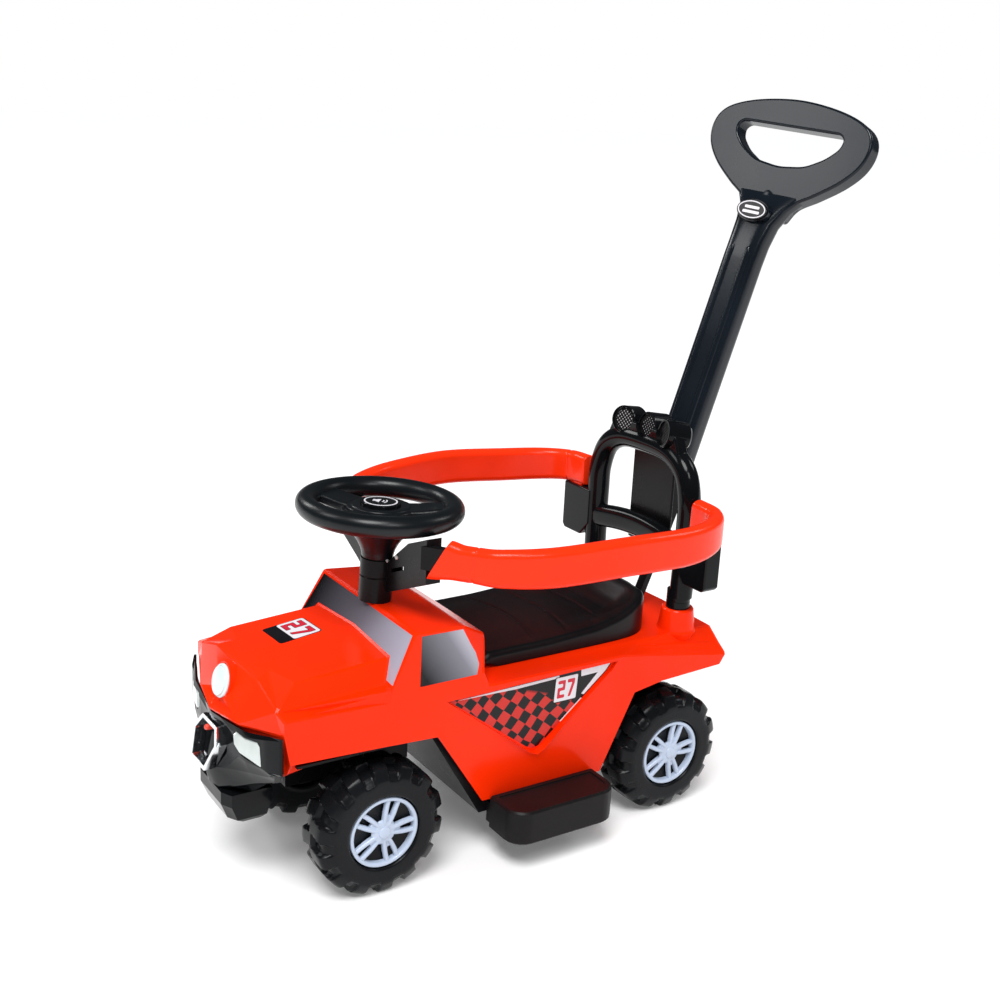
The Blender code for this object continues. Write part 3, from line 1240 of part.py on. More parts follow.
def push_handle():
    """Leaning stem with a round peg below and a D grip above, turned about its own axis."""
    stem = loft([[(x, y, z) for x, y in section(half, depth, 12, 3.6)]
                 for half, depth, z in ((STEM_HALF_WIDTH - 0.004, STEM_HALF_DEPTH - 0.004, STEM_LOW),
                                        (STEM_HALF_WIDTH, STEM_HALF_DEPTH, STEM_LOW + 0.006),
                                        (STEM_HALF_WIDTH, STEM_HALF_DEPTH, -0.060))])
    neck = loft([[(x, y + offset, z) for x, y in section(half, depth, 12, 3.4)]
                 for half, depth, offset, z in ((0.0238, 0.0170, 0.0, -0.065),
                                                (0.0245, 0.0168, 0.001, -0.035),
                                                (0.0270, 0.0160, 0.004, -0.010),
                                                (0.0345, 0.0145, 0.010, 0.012),
                                                (0.0480, 0.0125, 0.015, 0.030))])
    join(stem, neck)
    for x in (-0.0115, 0.0115):
        join(stem, shift(rod(0.0042, -0.310, -0.045, 8), x, -STEM_HALF_DEPTH + 0.0022))
    grip = bevelled(prism(grip_outline(), -0.0120, 0.0120, "Y"), 0.0055, 1, 60)
    cut(grip, prism(grip_opening(), -0.03, 0.03, "Y"))
    join(stem, shift(grip, 0.0, 0.0170))
    join(stem, badge_disc(0.0228, 0.0139, -0.0020, -0.0173))
    join(stem, rod(PEG_RADIUS, PEG_LOW, STEM_LOW + 0.010, 16))
    cut(stem, rod(PEG_RADIUS - WALL, -0.40, -0.070, 10))
    return on_handle(turn(stem, math.degrees(HANDLE_TWIST), "Z"))


def badge_disc(half_width, half_height, rear, front):
    """Oval disc on the front of the neck, between two depths."""
    return loft([[(x, y, z + BADGE_RISE) for x, z in section(half_width, half_height, 16)]
                 for y in (rear, front)])


def handle_badge():
    """Flat oval badge plate, seated on the flat pad of the neck."""
    badge = badge_disc(0.0215, 0.0126, -0.0176, -0.0200)
    return on_handle(turn(badge, math.degrees(HANDLE_TWIST), "Z"))


name_piece(handle_socket(), "handle_socket", BLACK, CAR)
HANDLE_PIVOT = pivot("push_handle_axis", HANDLE_NECK, CAR, (-HANDLE_LEAN, 0.0, 0.0))
name_piece(push_handle(), "push_handle", BLACK, HANDLE_PIVOT)
name_piece(handle_badge(), "handle_badge", BLACK, HANDLE_PIVOT)
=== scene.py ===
"""Looks of the foot-to-floor ride-on car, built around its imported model."""
import json
import math

import bmesh
import bpy
from mathutils import Matrix, Vector
from mathutils.bvhtree import BVHTree


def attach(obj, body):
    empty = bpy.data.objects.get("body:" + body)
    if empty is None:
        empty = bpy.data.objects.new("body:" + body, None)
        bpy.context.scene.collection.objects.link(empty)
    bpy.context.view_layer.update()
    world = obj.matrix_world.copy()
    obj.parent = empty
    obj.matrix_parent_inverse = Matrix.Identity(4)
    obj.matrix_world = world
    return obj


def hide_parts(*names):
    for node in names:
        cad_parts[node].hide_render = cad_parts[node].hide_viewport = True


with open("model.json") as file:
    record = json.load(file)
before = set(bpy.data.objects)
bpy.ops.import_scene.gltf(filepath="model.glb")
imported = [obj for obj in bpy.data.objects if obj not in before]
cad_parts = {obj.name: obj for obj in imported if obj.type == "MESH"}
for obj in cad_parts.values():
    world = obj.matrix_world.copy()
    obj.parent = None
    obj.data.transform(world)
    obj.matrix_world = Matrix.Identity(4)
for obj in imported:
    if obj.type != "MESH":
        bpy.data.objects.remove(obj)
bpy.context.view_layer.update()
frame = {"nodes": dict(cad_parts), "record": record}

# Places are worked out around the middle of the wheelbase, as on the car itself, and then shifted
# into the frame. The seat's hinge gives that shift.
SEAT_AXIS = Vector((0.0, -0.050, 0.229))
HINGE = next(joint for joint in frame["record"]["behaviour"]["joints"] if joint["name"] == "seat_lid_open")
CAR = Matrix.Translation(Vector(HINGE["pos_m"]) - SEAT_AXIS)

WALL = 0.003
AXLE_Z = 0.0712
WHEELS = {"front_left": (1, -0.200), "front_right": (-1, -0.200), "rear_left": (1, 0.200),
          "rear_right": (-1, 0.200)}
TYRE_HALF_WIDTH = 0.0290
TYRE_MIDDLE_X = 0.0980
COLUMN_LEAN = math.radians(2.5)
COLUMN_FOOT = Vector((0.0, -0.152, 0.288))
HANDLE_LEAN = math.radians(18.66)
HANDLE_TWIST = math.radians(15.0)
HANDLE_NECK = Vector((0.0, 0.3764, 0.7133))


# Tables

def rows(text, mark="\n"):
    """Words of each row of a table, whose rows end at a mark."""
    return [row.split() for row in text.strip().split(mark)]


def tenths(text):
    """Points, in metres, from a table in tenths of a millimetre with a stroke between points."""
    return [tuple(int(value) / 10000 for value in row) for row in rows(text, "/")]


# Meshes

def linked(name, data):
    """New object in the scene with the given data."""
    made = bpy.data.objects.new(name, data)
    bpy.context.scene.collection.objects.link(made)
    return made


def item_from(shape, name):
    """Object from a bmesh, which is freed."""
    mesh = bpy.data.meshes.new(name)
    shape.to_mesh(mesh)
    shape.free()
    return linked(name, mesh)


def solid(points, faces, name="solid"):
    shape = bmesh.new()
    verts = [shape.verts.new(point) for point in points]
    for face in faces:
        shape.faces.new([verts[k] for k in face])
    bmesh.ops.recalc_face_normals(shape, faces=shape.faces)
    return item_from(shape, name)


def loft(rings, ends=True):
    """Closed solid through rings of equal point counts, with flat ends or joined in a hoop."""
    count = len(rings[0])
    spans = len(rings) - 1 if ends else len(rings)
    faces = []
    for row in range(spans):
        following = (row + 1) % len(rings)
        for k in range(count):
            after = (k + 1) % count
            faces.append((row * count + k, row * count + after, following * count + after, following * count + k))
    if ends:
        last = (len(rings) - 1) * count
        faces.append(tuple(range(count)))
        faces.append(tuple(range(last, last + count)))
    return solid([point for ring in rings for point in ring], faces)


def prism(outline, low, high, axis="X"):
    """Outline of (a, b) pairs, (y, z), (x, z) or (x, y), extruded along X, Y or Z."""
    def place(a, b, along):
        return {"X": (along, a, b), "Y": (a, along, b), "Z": (a, b, along)}[axis]
    return loft([[place(a, b, low) for a, b in outline], [place(a, b, high) for a, b in outline]])


def block(low, high):
    return prism([(low[1], low[2]), (high[1], low[2]), (high[1], high[2]), (low[1], high[2])], low[0], high[0])


def turned(profile, steps=48):
    """Solid turned about Z from (radius, height) pairs; a radius of zero makes a pole."""
    shape = bmesh.new()
    points = [shape.verts.new((radius, 0.0, height)) for radius, height in profile]
    edges = [shape.edges.new((points[k], points[k + 1])) for k in range(len(points) - 1)]
    if profile[0][0] > 0.0 or profile[-1][0] > 0.0:
        edges.append(shape.edges.new((points[-1], points[0])))
    bmesh.ops.spin(shape, geom=points + edges, cent=(0, 0, 0), axis=(0, 0, 1), angle=2 * math.pi, steps=steps)
    bmesh.ops.remove_doubles(shape, verts=shape.verts, dist=1e-6)
    bmesh.ops.recalc_face_normals(shape, faces=shape.faces)
    return item_from(shape, "turned")


def rod(radius, low, high, steps=32):
    return turned([(0.0, low), (radius, low), (radius, high), (0.0, high)], steps)


def section(half_width, half_height, count=24, squareness=2.0):
    """Rounded cross-section: 2 is an ellipse, higher values are squarer."""
    points = []
    for k in range(count):
        angle = 2 * math.pi * (k + 0.5) / count
        c, s = math.cos(angle), math.sin(angle)
        points.append((half_width * math.copysign(abs(c) ** (2 / squareness), c),
                       half_height * math.copysign(abs(s) ** (2 / squareness), s)))
    return points


def smooth_path(knots, per_span):
    """Catmull-Rom curve through the knots, given as triples."""
    knots = [Vector(knot) for knot in knots]
    points = []
    for span, (b, c) in enumerate(zip(knots, knots[1:])):
        a = knots[span - 1] if span > 0 else b * 2 - c
        d = knots[span + 2] if span + 2 < len(knots) else c * 2 - b
        for step in range(per_span):
            t = step / per_span
            points.append(0.5 * ((2 * b) + (c - a) * t + (2 * a - 5 * b + 4 * c - d) * t * t
                                 + (3 * b - a - 3 * c + d) * t ** 3))
    return points + [knots[-1].copy()]


def sweep_rings(path, profile, up, closed=False):
    """Rings of a (sideways, up) profile carried along a path."""
    rings = []
    count = len(path)
    for k, centre in enumerate(path):
        before = path[(k - 1) % count] if closed or k > 0 else centre
        after = path[(k + 1) % count] if closed or k < count - 1 else centre
        along = (after - before).normalized()
        side = along.cross(up).normalized()
        lift = side.cross(along)
        shape = profile(k / (count - 1)) if callable(profile) else profile
        rings.append([centre + side * a + lift * b for a, b in shape])
    return rings


def moved(item, matrix):
    item.data.transform(matrix)
    return item


def shift(item, x=0.0, y=0.0, z=0.0):
    return moved(item, Matrix.Translation((x, y, z)))


def turn(item, degrees, axis):
    return moved(item, Matrix.Rotation(math.radians(degrees), 4, axis))


def remesh(item, change):
    """Change a piece's mesh in place through a bmesh."""
    shape = bmesh.new()
    shape.from_mesh(item.data)
    change(shape)
    shape.to_mesh(item.data)
    shape.free()
    return item


def flip(item):
    """Mirror a piece's own mesh to the other side."""
    def mirror(shape):
        bmesh.ops.scale(shape, vec=(-1, 1, 1), verts=shape.verts)
        bmesh.ops.reverse_faces(shape, faces=shape.faces)
    return remesh(item, mirror)


def sided(item, side):
    """A piece made for the left side, mirrored when the side is the right one."""
    return flip(item) if side < 0 else item


def modify(item, kind, **settings):
    modifier = item.modifiers.new(kind.lower(), kind)
    for name, value in settings.items():
        setattr(modifier, name, value)


def settle(item):
    """Replace the mesh with the one that its modifiers make."""
    graph = bpy.context.evaluated_depsgraph_get()
    mesh = bpy.data.meshes.new_from_object(item.evaluated_get(graph))
    item.modifiers.clear()
    item.data = mesh
    return item


def boolean(item, others, operation):
    for other in others:
        modify(item, "BOOLEAN", operation=operation, solver="EXACT", object=other)
        settle(item)
        bpy.data.objects.remove(other, do_unlink=True)
    return item


def cut(item, *others):
    return boolean(item, others, "DIFFERENCE")


def join(item, *others):
    return boolean(item, others, "UNION")


def bevelled(item, width, segments=3, angle=30.0):
    modify(item, "BEVEL", width=width, segments=segments, limit_method="ANGLE", angle_limit=math.radians(angle))
    return settle(item)


def about(angle, axis):
    return Matrix.Rotation(angle, 4, axis)


def on_column(item):
    return moved(item, Matrix.Translation(COLUMN_FOOT) @ about(-COLUMN_LEAN, "X"))


def on_handle(item):
    """Place a shape made along Z on the leaning, slightly twisted push handle."""
    return moved(item, Matrix.Translation(HANDLE_NECK) @ about(-HANDLE_LEAN, "X") @ about(HANDLE_TWIST, "Z"))


def arc(centre_a, centre_b, radius, start, end, count):
    points = []
    for k in range(count):
        angle = math.radians(start + (end - start) * k / (count - 1))
        points.append((centre_a + radius * math.cos(angle), centre_b + radius * math.sin(angle)))
    return points


def show(item, name, material, body, slot, *nodes, smooth=35.0, weighted=True):
    """Finish a piece: name, material, smooth shading, body and the nodes it stands for; the slot is not used."""
    item.name = name
    item.data.name = name
    moved(item, CAR)
    item.data.materials.clear()
    item.data.materials.append(material)
    item.data.shade_smooth()
    item.data.set_sharp_from_angle(angle=math.radians(smooth))
    if weighted:
        modify(item, "WEIGHTED_NORMAL", keep_sharp=True, weight=60)
        settle(item)
    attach(item, body)
    if nodes:
        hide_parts(*nodes)
    return item


# Materials

def feed(tree, node, inputs):
    """Set a node's inputs, each by a value or by a link from a socket."""
    for key, value in inputs.items():
        if isinstance(value, bpy.types.NodeSocket):
            tree.links.new(value, node.inputs[key])
        else:
            node.inputs[key].default_value = value
    return node


def add(tree, kind, inputs, output, **attributes):
    """Add a node and give back one of its output sockets."""
    node = tree.nodes.new("ShaderNode" + kind)
    for name, value in attributes.items():
        setattr(node, name, value)
    return feed(tree, node, inputs).outputs[output]


def ramp(tree, source, *stops):
    """Colour ramp through (position, colour) stops, the two outer ones first."""
    colours = add(tree, "ValToRGB", {"Fac": source}, "Color")
    elements = colours.node.color_ramp.elements
    for k, (position, colour) in enumerate(stops):
        element = elements[k] if k < 2 else elements.new(position)
        element.position = position
        element.color = (*colour, 1.0)
    return colours


def finish_with(material, inputs):
    """Set inputs of a material's own shader."""
    feed(material.node_tree, material.node_tree.nodes["Principled BSDF"], inputs)
    return material


def surface(name, colour, roughness, grain, bump, tint, metallic=0.0, coat=0.0, spread=0.08, specular=0.5):
    """Moulded surface: two close tints in soft clouds, uneven gloss and a fine grain."""
    made = bpy.data.materials.new(name)
    made.use_nodes = True
    tree = made.node_tree
    place = add(tree, "TexCoord", {}, "Object")
    clouds = add(tree, "TexNoise", {"Scale": 14.0, "Detail": 4.0, "Vector": place}, "Fac")
    tints = ramp(tree, clouds, (0.35, [c * (1.0 - tint) for c in colour]),
                 (0.65, [min(1.0, c * (1.0 + tint)) for c in colour]))
    gloss = {"To Min": roughness - spread / 2, "To Max": roughness + spread / 2, "Value": clouds}
    fine = add(tree, "TexNoise", {"Scale": grain, "Detail": 2.0, "Vector": place}, "Fac")
    relief = add(tree, "Bump", {"Strength": bump, "Distance": 0.001, "Height": fine}, "Normal")
    return finish_with(made, {"Metallic": metallic, "Coat Weight": coat, "Coat Roughness": 0.08,
                              "Specular IOR Level": specular, "Base Color": tints,
                              "Roughness": add(tree, "MapRange", gloss, "Result"), "Normal": relief})


def film(name, colour, roughness):
    """Smooth printed film."""
    return surface(name, colour, roughness, 300.0, 0.01, 0.10, specular=0.25)


def gradient_film(name, start, end, dark, light, bend):
    """Printed film that fades between two greys along the line from start to end."""
    made = film(name, dark, 0.20)
    tree = made.node_tree
    start, end = CAR @ Vector(start), CAR @ Vector(end)
    line = end - start
    place = add(tree, "TexCoord", {}, "Object")
    offset = add(tree, "VectorMath", {0: place, 1: start}, "Vector", operation="SUBTRACT")
    along = add(tree, "VectorMath", {0: offset, 1: line / line.length_squared}, "Value", operation="DOT_PRODUCT")
    middle = [d * 0.6 + l * 0.4 for d, l in zip(dark, light)]
    return finish_with(made, {"Base Color": ramp(tree, along, (0.0, dark), (1.0, light), (bend, middle))})


# Name, colour, roughness, scale of the grain, its depth and the spread of the tints
RED = surface("body_red_gloss", (0.985, 0.027, 0.0008), 0.20, 260.0, 0.015, 0.04, specular=0.13)
RAIL_RED = surface("rail_red_gloss", (0.960, 0.033, 0.0040), 0.20, 220.0, 0.02, 0.05, specular=0.18)
BLACK = surface("black_moulded", (0.0065, 0.0062, 0.0070), 0.28, 500.0, 0.05, 0.15, specular=0.13)
BLACK_GLOSS = surface("black_gloss", (0.0035, 0.0042, 0.0050), 0.12, 200.0, 0.015, 0.15, specular=0.16)
STEER_BLACK = surface("steering_black", (0.0045, 0.0060, 0.0075), 0.30, 600.0, 0.05, 0.15, specular=0.32)
HANDLE_BLACK = surface("handle_black", (0.0055, 0.0085, 0.0130), 0.20, 240.0, 0.03, 0.15, specular=0.28)
SEAT_BLACK = surface("seat_black", (0.0045, 0.0045, 0.0052), 0.34, 900.0, 0.08, 0.12, specular=0.20)
TYRE_BLACK = surface("tyre_black", (0.0060, 0.0070, 0.0082), 0.26, 420.0, 0.06, 0.2, specular=0.15)
STEP_BLACK = surface("step_black", (0.0075, 0.0068, 0.0072), 0.40, 700.0, 0.12, 0.15, specular=0.14)
SILVER = surface("hubcap_silver", (0.480, 0.560, 0.700), 0.28, 300.0, 0.03, 0.05, coat=0.2, specular=0.4)
CHROME = surface("chrome_trim", (0.78, 0.80, 0.82), 0.10, 120.0, 0.01, 0.03, metallic=1.0, spread=0.04)
STEEL = surface("zinc_steel", (0.66, 0.66, 0.68), 0.32, 800.0, 0.08, 0.08, metallic=1.0)
SCREW_ZINC = surface("screw_zinc", (0.80, 0.80, 0.78), 0.35, 800.0, 0.03, 0.05, metallic=0.2)
WHITE_LENS = surface("white_lens", (0.66, 0.76, 0.76), 0.12, 90.0, 0.03, 0.05, coat=0.5)
CLEAR_LENS = surface("clear_lens", (0.62, 0.68, 0.66), 0.08, 110.0, 0.25, 0.25, coat=0.6)
# Pod reflectors: white with a faint emission, a painted glow that brightens them where they sit in the pods' shade
REFLECTOR_PAINTED_GLOW = finish_with(surface("reflector_painted_glow", (0.92, 0.90, 0.92), 0.30, 90.0, 0.03, 0.04),
                        {"Emission Color": (1.0, 0.97, 1.0, 1.0), "Emission Strength": 0.35})
RED_LENS = surface("red_lens", (0.85, 0.050, 0.020), 0.10, 90.0, 0.02, 0.1, coat=0.4)
WHITE_PRINT = surface("white_print", (0.78, 0.76, 0.80), 0.28, 300.0, 0.01, 0.03, specular=0.3)
BLACK_PRINT = surface("black_print", (0.0045, 0.0040, 0.0060), 0.22, 300.0, 0.01, 0.1, specular=0.25)
RED_PRINT = surface("red_print", (0.62, 0.015, 0.040), 0.28, 300.0, 0.01, 0.05, specular=0.3)


# Body shell

# Points of the body's left half: name, then x, y and z in tenths of a millimetre
HALF_BODY_POINTS = {name: [int(value) / 10000 for value in values] for name, *values in rows("""
nose_low_middle 0 -3330 1500
nose_low 550 -3230 1500
nose_low_end 950 -3030 1500
nose_middle 0 -3500 1980
nose 550 -3390 2000
nose_end 1185 -3160 2090
under_middle 0 -3405 1955
under 550 -3325 1970
brow_middle 0 -3200 2480
brow 550 -3180 2465
hood_front_middle 0 -2870 2555
hood_inner 195 -2870 2550
hood_knee 464 -3010 2512
hood_front 870 -2890 2505
fender_front_inner 1030 -3180 2310
fender_front 1200 -3160 2260
fender_front_low 1200 -3090 1760
hood_rear_middle 0 -1780 2640
hood_rear 870 -1800 2585
pillar_inner 1030 -1924 2360
pillar_outer 1185 -1935 2340
fender_pillar 1200 -1935 2195
fender_pillar_low 1200 -2000 1715
glass_top_middle 0 -1610 2915
glass_top 1127 -1610 2920
window_front 1190 -1600 2320
window_rear 1185 -780 2320
roof_break_middle 0 -965 2880
roof_break 1085 -985 2880
roof_rear_middle 0 -660 2705
roof_rear 990 -660 2700
shoulder_front 1200 -1350 2170
arch_front_top 1200 -1340 1680
shoulder_cab 1200 -700 2165
front_tip 1080 -645 660
ledge_front_middle 0 -640 2200
ledge_front 970 -640 2200
shoulder_rear 1200 1120 2160
rear_tip 1080 1040 620
rear_knee 1190 1400 1630
rear_arch 1200 1810 1705
ledge_rear 970 1500 2200
deck_rear_middle 0 2740 2200
deck_rear 990 2700 2200
waist_front 1060 1500 2165
tail_waist_middle 0 2860 1980
tail_waist 1110 2790 1980
lip_middle 0 2980 1870
lip 1200 2830 1865
tail_low_middle 0 2960 1745
tail_low 1200 2750 1745
""")}

# Faces between those points
HALF_BODY_FACES = rows("""
nose_low_middle nose_low under under_middle
nose_low nose_low_end nose_end under
under_middle under nose nose_middle
under nose_end nose
nose_low_end fender_front_low fender_front nose_end
nose_middle nose brow brow_middle
nose nose_end fender_front_inner brow
nose_end fender_front fender_front_inner
brow fender_front_inner hood_knee
fender_front_inner hood_front hood_knee
brow_middle brow hood_inner hood_front_middle
brow hood_knee hood_inner
hood_inner hood_knee hood_front
hood_front_middle hood_inner hood_rear_middle
hood_inner hood_front hood_rear hood_rear_middle
hood_front fender_front_inner pillar_inner hood_rear
fender_front_inner fender_front fender_pillar pillar_outer pillar_inner
fender_front fender_front_low fender_pillar_low fender_pillar
hood_rear_middle hood_rear glass_top glass_top_middle
hood_rear pillar_inner pillar_outer glass_top
pillar_outer fender_pillar window_front
glass_top pillar_outer window_front
fender_pillar shoulder_front window_front
window_front shoulder_front shoulder_cab window_rear
glass_top window_front roof_break
window_front window_rear roof_rear roof_break
glass_top_middle glass_top roof_break roof_break_middle
roof_break_middle roof_break roof_rear roof_rear_middle
fender_pillar fender_pillar_low arch_front_top shoulder_front
roof_rear_middle roof_rear ledge_front ledge_front_middle
roof_rear window_rear shoulder_cab ledge_front
ledge_front_middle ledge_front ledge_rear deck_rear deck_rear_middle
ledge_front shoulder_cab shoulder_rear waist_front ledge_rear
shoulder_front arch_front_top front_tip shoulder_cab
shoulder_cab front_tip rear_tip shoulder_rear
shoulder_rear rear_tip rear_knee
shoulder_rear rear_knee rear_arch lip
rear_arch tail_low lip
ledge_rear waist_front tail_waist deck_rear
waist_front shoulder_rear lip tail_waist
deck_rear_middle deck_rear tail_waist tail_waist_middle
tail_waist_middle tail_waist lip lip_middle
lip_middle lip tail_low tail_low_middle
""")

FOLD_WIDTH = 0.0026
FOLD_ANGLE = 12.0
SIDE_X = 0.120
RECESS_DEPTH = 0.0045
RECESS_TOP = 0.216
FILM_ROOT = 0.0002
RECESS_TILT = math.atan(0.012 / 0.150)
LEG_X, LEG_Y = 0.085, 0.226
LAMP_CENTRE = Vector((0.0, -0.3345, 0.2275))
LAMP_TILT = math.radians(15.0)
LAMP_RADIUS = 0.0188


def outward(shape):
    """Turn every face of the skin outwards."""
    bmesh.ops.recalc_face_normals(shape, faces=shape.faces)
    top = max(shape.faces, key=lambda face: face.calc_center_median().z)
    if top.normal.z < 0.0:
        bmesh.ops.reverse_faces(shape, faces=shape.faces)


def body_skin():
    """Folded outer skin, mirrored from its left half, with softly rounded folds and an even wall."""
    order = list(HALF_BODY_POINTS)
    mesh = bpy.data.meshes.new("skin")
    mesh.from_pydata(list(HALF_BODY_POINTS.values()), [],
                     [[order.index(name) for name in face] for face in HALF_BODY_FACES])
    skin = linked("skin", mesh)
    modify(skin, "MIRROR", merge_threshold=0.0001)
    remesh(settle(skin), outward)
    modify(skin, "BEVEL", width=FOLD_WIDTH, segments=1, limit_method="ANGLE", angle_limit=math.radians(FOLD_ANGLE))
    modify(skin, "SOLIDIFY", thickness=WALL, offset=-1.0, use_even_offset=True)
    return settle(skin)


def in_recess(item):
    """Place a shape drawn in the plane of the left side's sunk panel."""
    return moved(item, Matrix.Translation((SIDE_X - RECESS_DEPTH, 0.0, RECESS_TOP)) @ about(RECESS_TILT, "Y")
                 @ Matrix.Translation((0.0, 0.0, -RECESS_TOP)))


RECESS_OUTLINE = tenths("-1240 2075 / 1100 2105 / 1030 2000 / 140 1180 / 40 1125 / -80 1180")


def on_lamp(item):
    return moved(item, Matrix.Translation(LAMP_CENTRE) @ about(math.radians(90.0) - LAMP_TILT, "X"))


def body_shell():
    """Shell with its sunk side panels, storage well, collars, hinge ears, screw bosses and lamp seat."""
    shell = body_skin()
    for side in (1, -1):
        recess, backing = (in_recess(prism(RECESS_OUTLINE, 0.0, 0.05)) for _ in range(2))
        shift(backing, -WALL)
        cut(backing, block((SIDE_X - 0.004, -0.2, 0.0), (0.3, 0.2, 0.3)))
        join(shell, sided(backing, side))
        cut(shell, sided(recess, side))
    join(shell, block((-0.069, -0.043, 0.102), (0.069, 0.109, 0.219)))
    cut(shell, block((-0.066, -0.040, 0.105), (0.066, 0.106, 0.230)))
    for side in (1, -1):
        collar = turned(tenths("""
            0 2050 / 185 2050 / 245 2185 / 238 2205 / 230 2220 / 205 2400 / 198 2460 / 185 2475 / 0 2475"""), 48)
        join(shell, shift(collar, side * LEG_X, LEG_Y), shift(rod(0.0180, 0.192, 0.21, 48), side * LEG_X, LEG_Y))
        cut(shell, shift(rod(0.0150, 0.195, 0.26, 48), side * LEG_X, LEG_Y))
        ear = block((0.057, SEAT_AXIS.y - 0.0035, 0.218), (0.063, SEAT_AXIS.y + 0.0045, 0.2322))
        join(shell, sided(ear, side), shift(rod(0.006, 0.1613, 0.2540, 16), side * 0.055, -0.245))
    cut(shell, on_column(rod(0.0062, -0.03, 0.03, 24)))
    join(shell, on_lamp(turned([(0.0, -0.014), (LAMP_RADIUS + 0.0030, -0.014), (LAMP_RADIUS + 0.0022, 0.0004),
                                (0.0, 0.0004)], 56)))
    cut(shell, on_lamp(rod(LAMP_RADIUS + 0.0003, -0.02, 0.03, 56)))
    for side in (1, -1):
        rib = prism(tenths("-3040 1515 / -2620 1580 / -2620 1760 / -3040 1760"), 0.0915, 0.0945)
        join(shell, sided(rib, side))
    brow_groove = shift(turn(rod(0.0030, -0.056, 0.056, 24), 90.0, "Y"), 0.0, -0.3218, 0.2490)
    cut(shell, brow_groove, block((-0.0068, 0.2252, 0.20), (0.0068, 0.2348, 0.23)))
    return bevelled(shell, 0.0008, 2, 14.0)


def laid_print(outline, axis, start, tree, lift, cell=0.004):
    """Thin film cut to an outline and laid on a surface along an axis, from a starting coordinate."""
    free = {"X": (1, 2), "Y": (0, 2), "Z": (0, 1)}[axis]
    fixed = "XYZ".index(axis)
    shape = bmesh.new()
    corners = []
    for a, b in outline:
        place = Vector((0.0, 0.0, 0.0))
        place[free[0]], place[free[1]], place[fixed] = a, b, start
        corners.append(shape.verts.new(place))
    shape.faces.new(corners)
    shape.normal_update()
    bmesh.ops.triangulate(shape, faces=shape.faces[:])
    for side in free:
        values = [vert.co[side] for vert in shape.verts]
        normal = Vector((0.0, 0.0, 0.0))
        normal[side] = 1.0
        for k in range(math.floor(min(values) / cell) + 1, math.ceil(max(values) / cell)):
            bmesh.ops.bisect_plane(shape, geom=shape.verts[:] + shape.edges[:] + shape.faces[:],
                                   plane_co=normal * (k * cell), plane_no=normal, dist=1e-7)
    toward = Vector((0.0, 0.0, 0.0))
    toward[fixed] = -math.copysign(1.0, start)
    shape.verts.index_update()
    count = len(shape.verts)
    hits = [tree.ray_cast(vert.co, toward) for vert in shape.verts]
    points = [place - normal * FILM_ROOT for place, normal, face, away in hits]
    points += [place + normal * lift for place, normal, face, away in hits]
    faces = []
    for face in shape.faces:
        ring = [vert.index for vert in face.verts]
        faces.append(tuple(ring))
        faces.append(tuple(k + count for k in reversed(ring)))
    for edge in shape.edges:
        if len(edge.link_faces) == 1:
            a, b = (vert.index for vert in edge.verts)
            faces.append((a, b, b + count, a + count))
    shape.free()
    return solid(points, faces, "film")


def body():
    """Moulded body; returns a search tree of its surface, in the car's own coordinates."""
    shell = remesh(body_shell(), lambda shape: bmesh.ops.triangulate(shape, faces=shape.faces[:]))
    tree = BVHTree.FromPolygons([vert.co for vert in shell.data.vertices],
                                [tuple(face.vertices) for face in shell.data.polygons])
    show(shell, "body_shell_moulded", RED, "car", "body_red", "body_shell", smooth=12.0)
    return tree


BODY_TREE = body()
SIDES = ((1, "left"), (-1, "right"))
SIDE_START = 0.2
HOOD_START = 0.4


def lay(outline, axis, start, lift, name, material, cell=0.004, weighted=False):
    """Lay a printed film on the body and show it."""
    print_film = laid_print(outline, axis, start, BODY_TREE, lift, cell)
    show(print_film, name, material, "car", "body_red", weighted=weighted)


def window_prints():
    """Tinted prints that stand for the windscreen and the side windows."""
    fine = {"lift": 0.0003, "cell": 0.002, "weighted": True}
    band = tenths("""
        -1060 2880 / 1075 2880 / 1165 2392 / 1022 2400 / 885 2604 / 0 2655 / -885 2604 / -1022 2400 / -1142 2392""")
    glass = gradient_film("windscreen_film", (-0.105, -0.17, 0.28), (0.105, -0.17, 0.28), (0.004, 0.004, 0.005),
                          (0.36, 0.36, 0.44), 0.55)
    lay(band, "Y", -0.2150, name="windscreen_print", material=glass, **fine)
    window = tenths("-1545 2872 / -1010 2848 / -930 2680 / -860 2560 / -830 2440 / -865 2322 / -1580 2322")
    for side, side_name in SIDES:
        tint = gradient_film("window_film_" + side_name, (side * 0.118, -0.150, 0.238),
                             (side * 0.112, -0.092, 0.272), (0.005, 0.005, 0.006), (0.50, 0.50, 0.58), 0.70)
        lay(window, "X", side * SIDE_START, name="side_window_print_" + side_name, material=tint, **fine)


def rounded(outline, radius, count=5):
    """Outline with every corner rounded."""
    points = []
    for k, corner in enumerate(outline):
        corner = Vector(corner)
        before = (Vector(outline[k - 1]) - corner)
        after = (Vector(outline[(k + 1) % len(outline)]) - corner)
        reach = min(radius, before.length * 0.45, after.length * 0.45)
        start = corner + before.normalized() * reach
        end = corner + after.normalized() * reach
        for step in range(count):
            t = step / (count - 1)
            points.append(tuple(start * (1 - t) ** 2 + corner * 2 * t * (1 - t) + end * t ** 2))
    return points


DIGIT_SHAPES = {
    "2": ((0.0, 1.0), (1.0, 1.0), (1.0, 0.42), (0.32, 0.42), (0.32, 0.19), (1.0, 0.19),
          (1.0, 0.0), (0.0, 0.0), (0.0, 0.60), (0.68, 0.60), (0.68, 0.81), (0.0, 0.81)),
    "7": ((0.0, 1.0), (1.0, 1.0), (1.0, 0.74), (0.56, 0.0), (0.20, 0.0), (0.66, 0.80), (0.0, 0.80)),
}


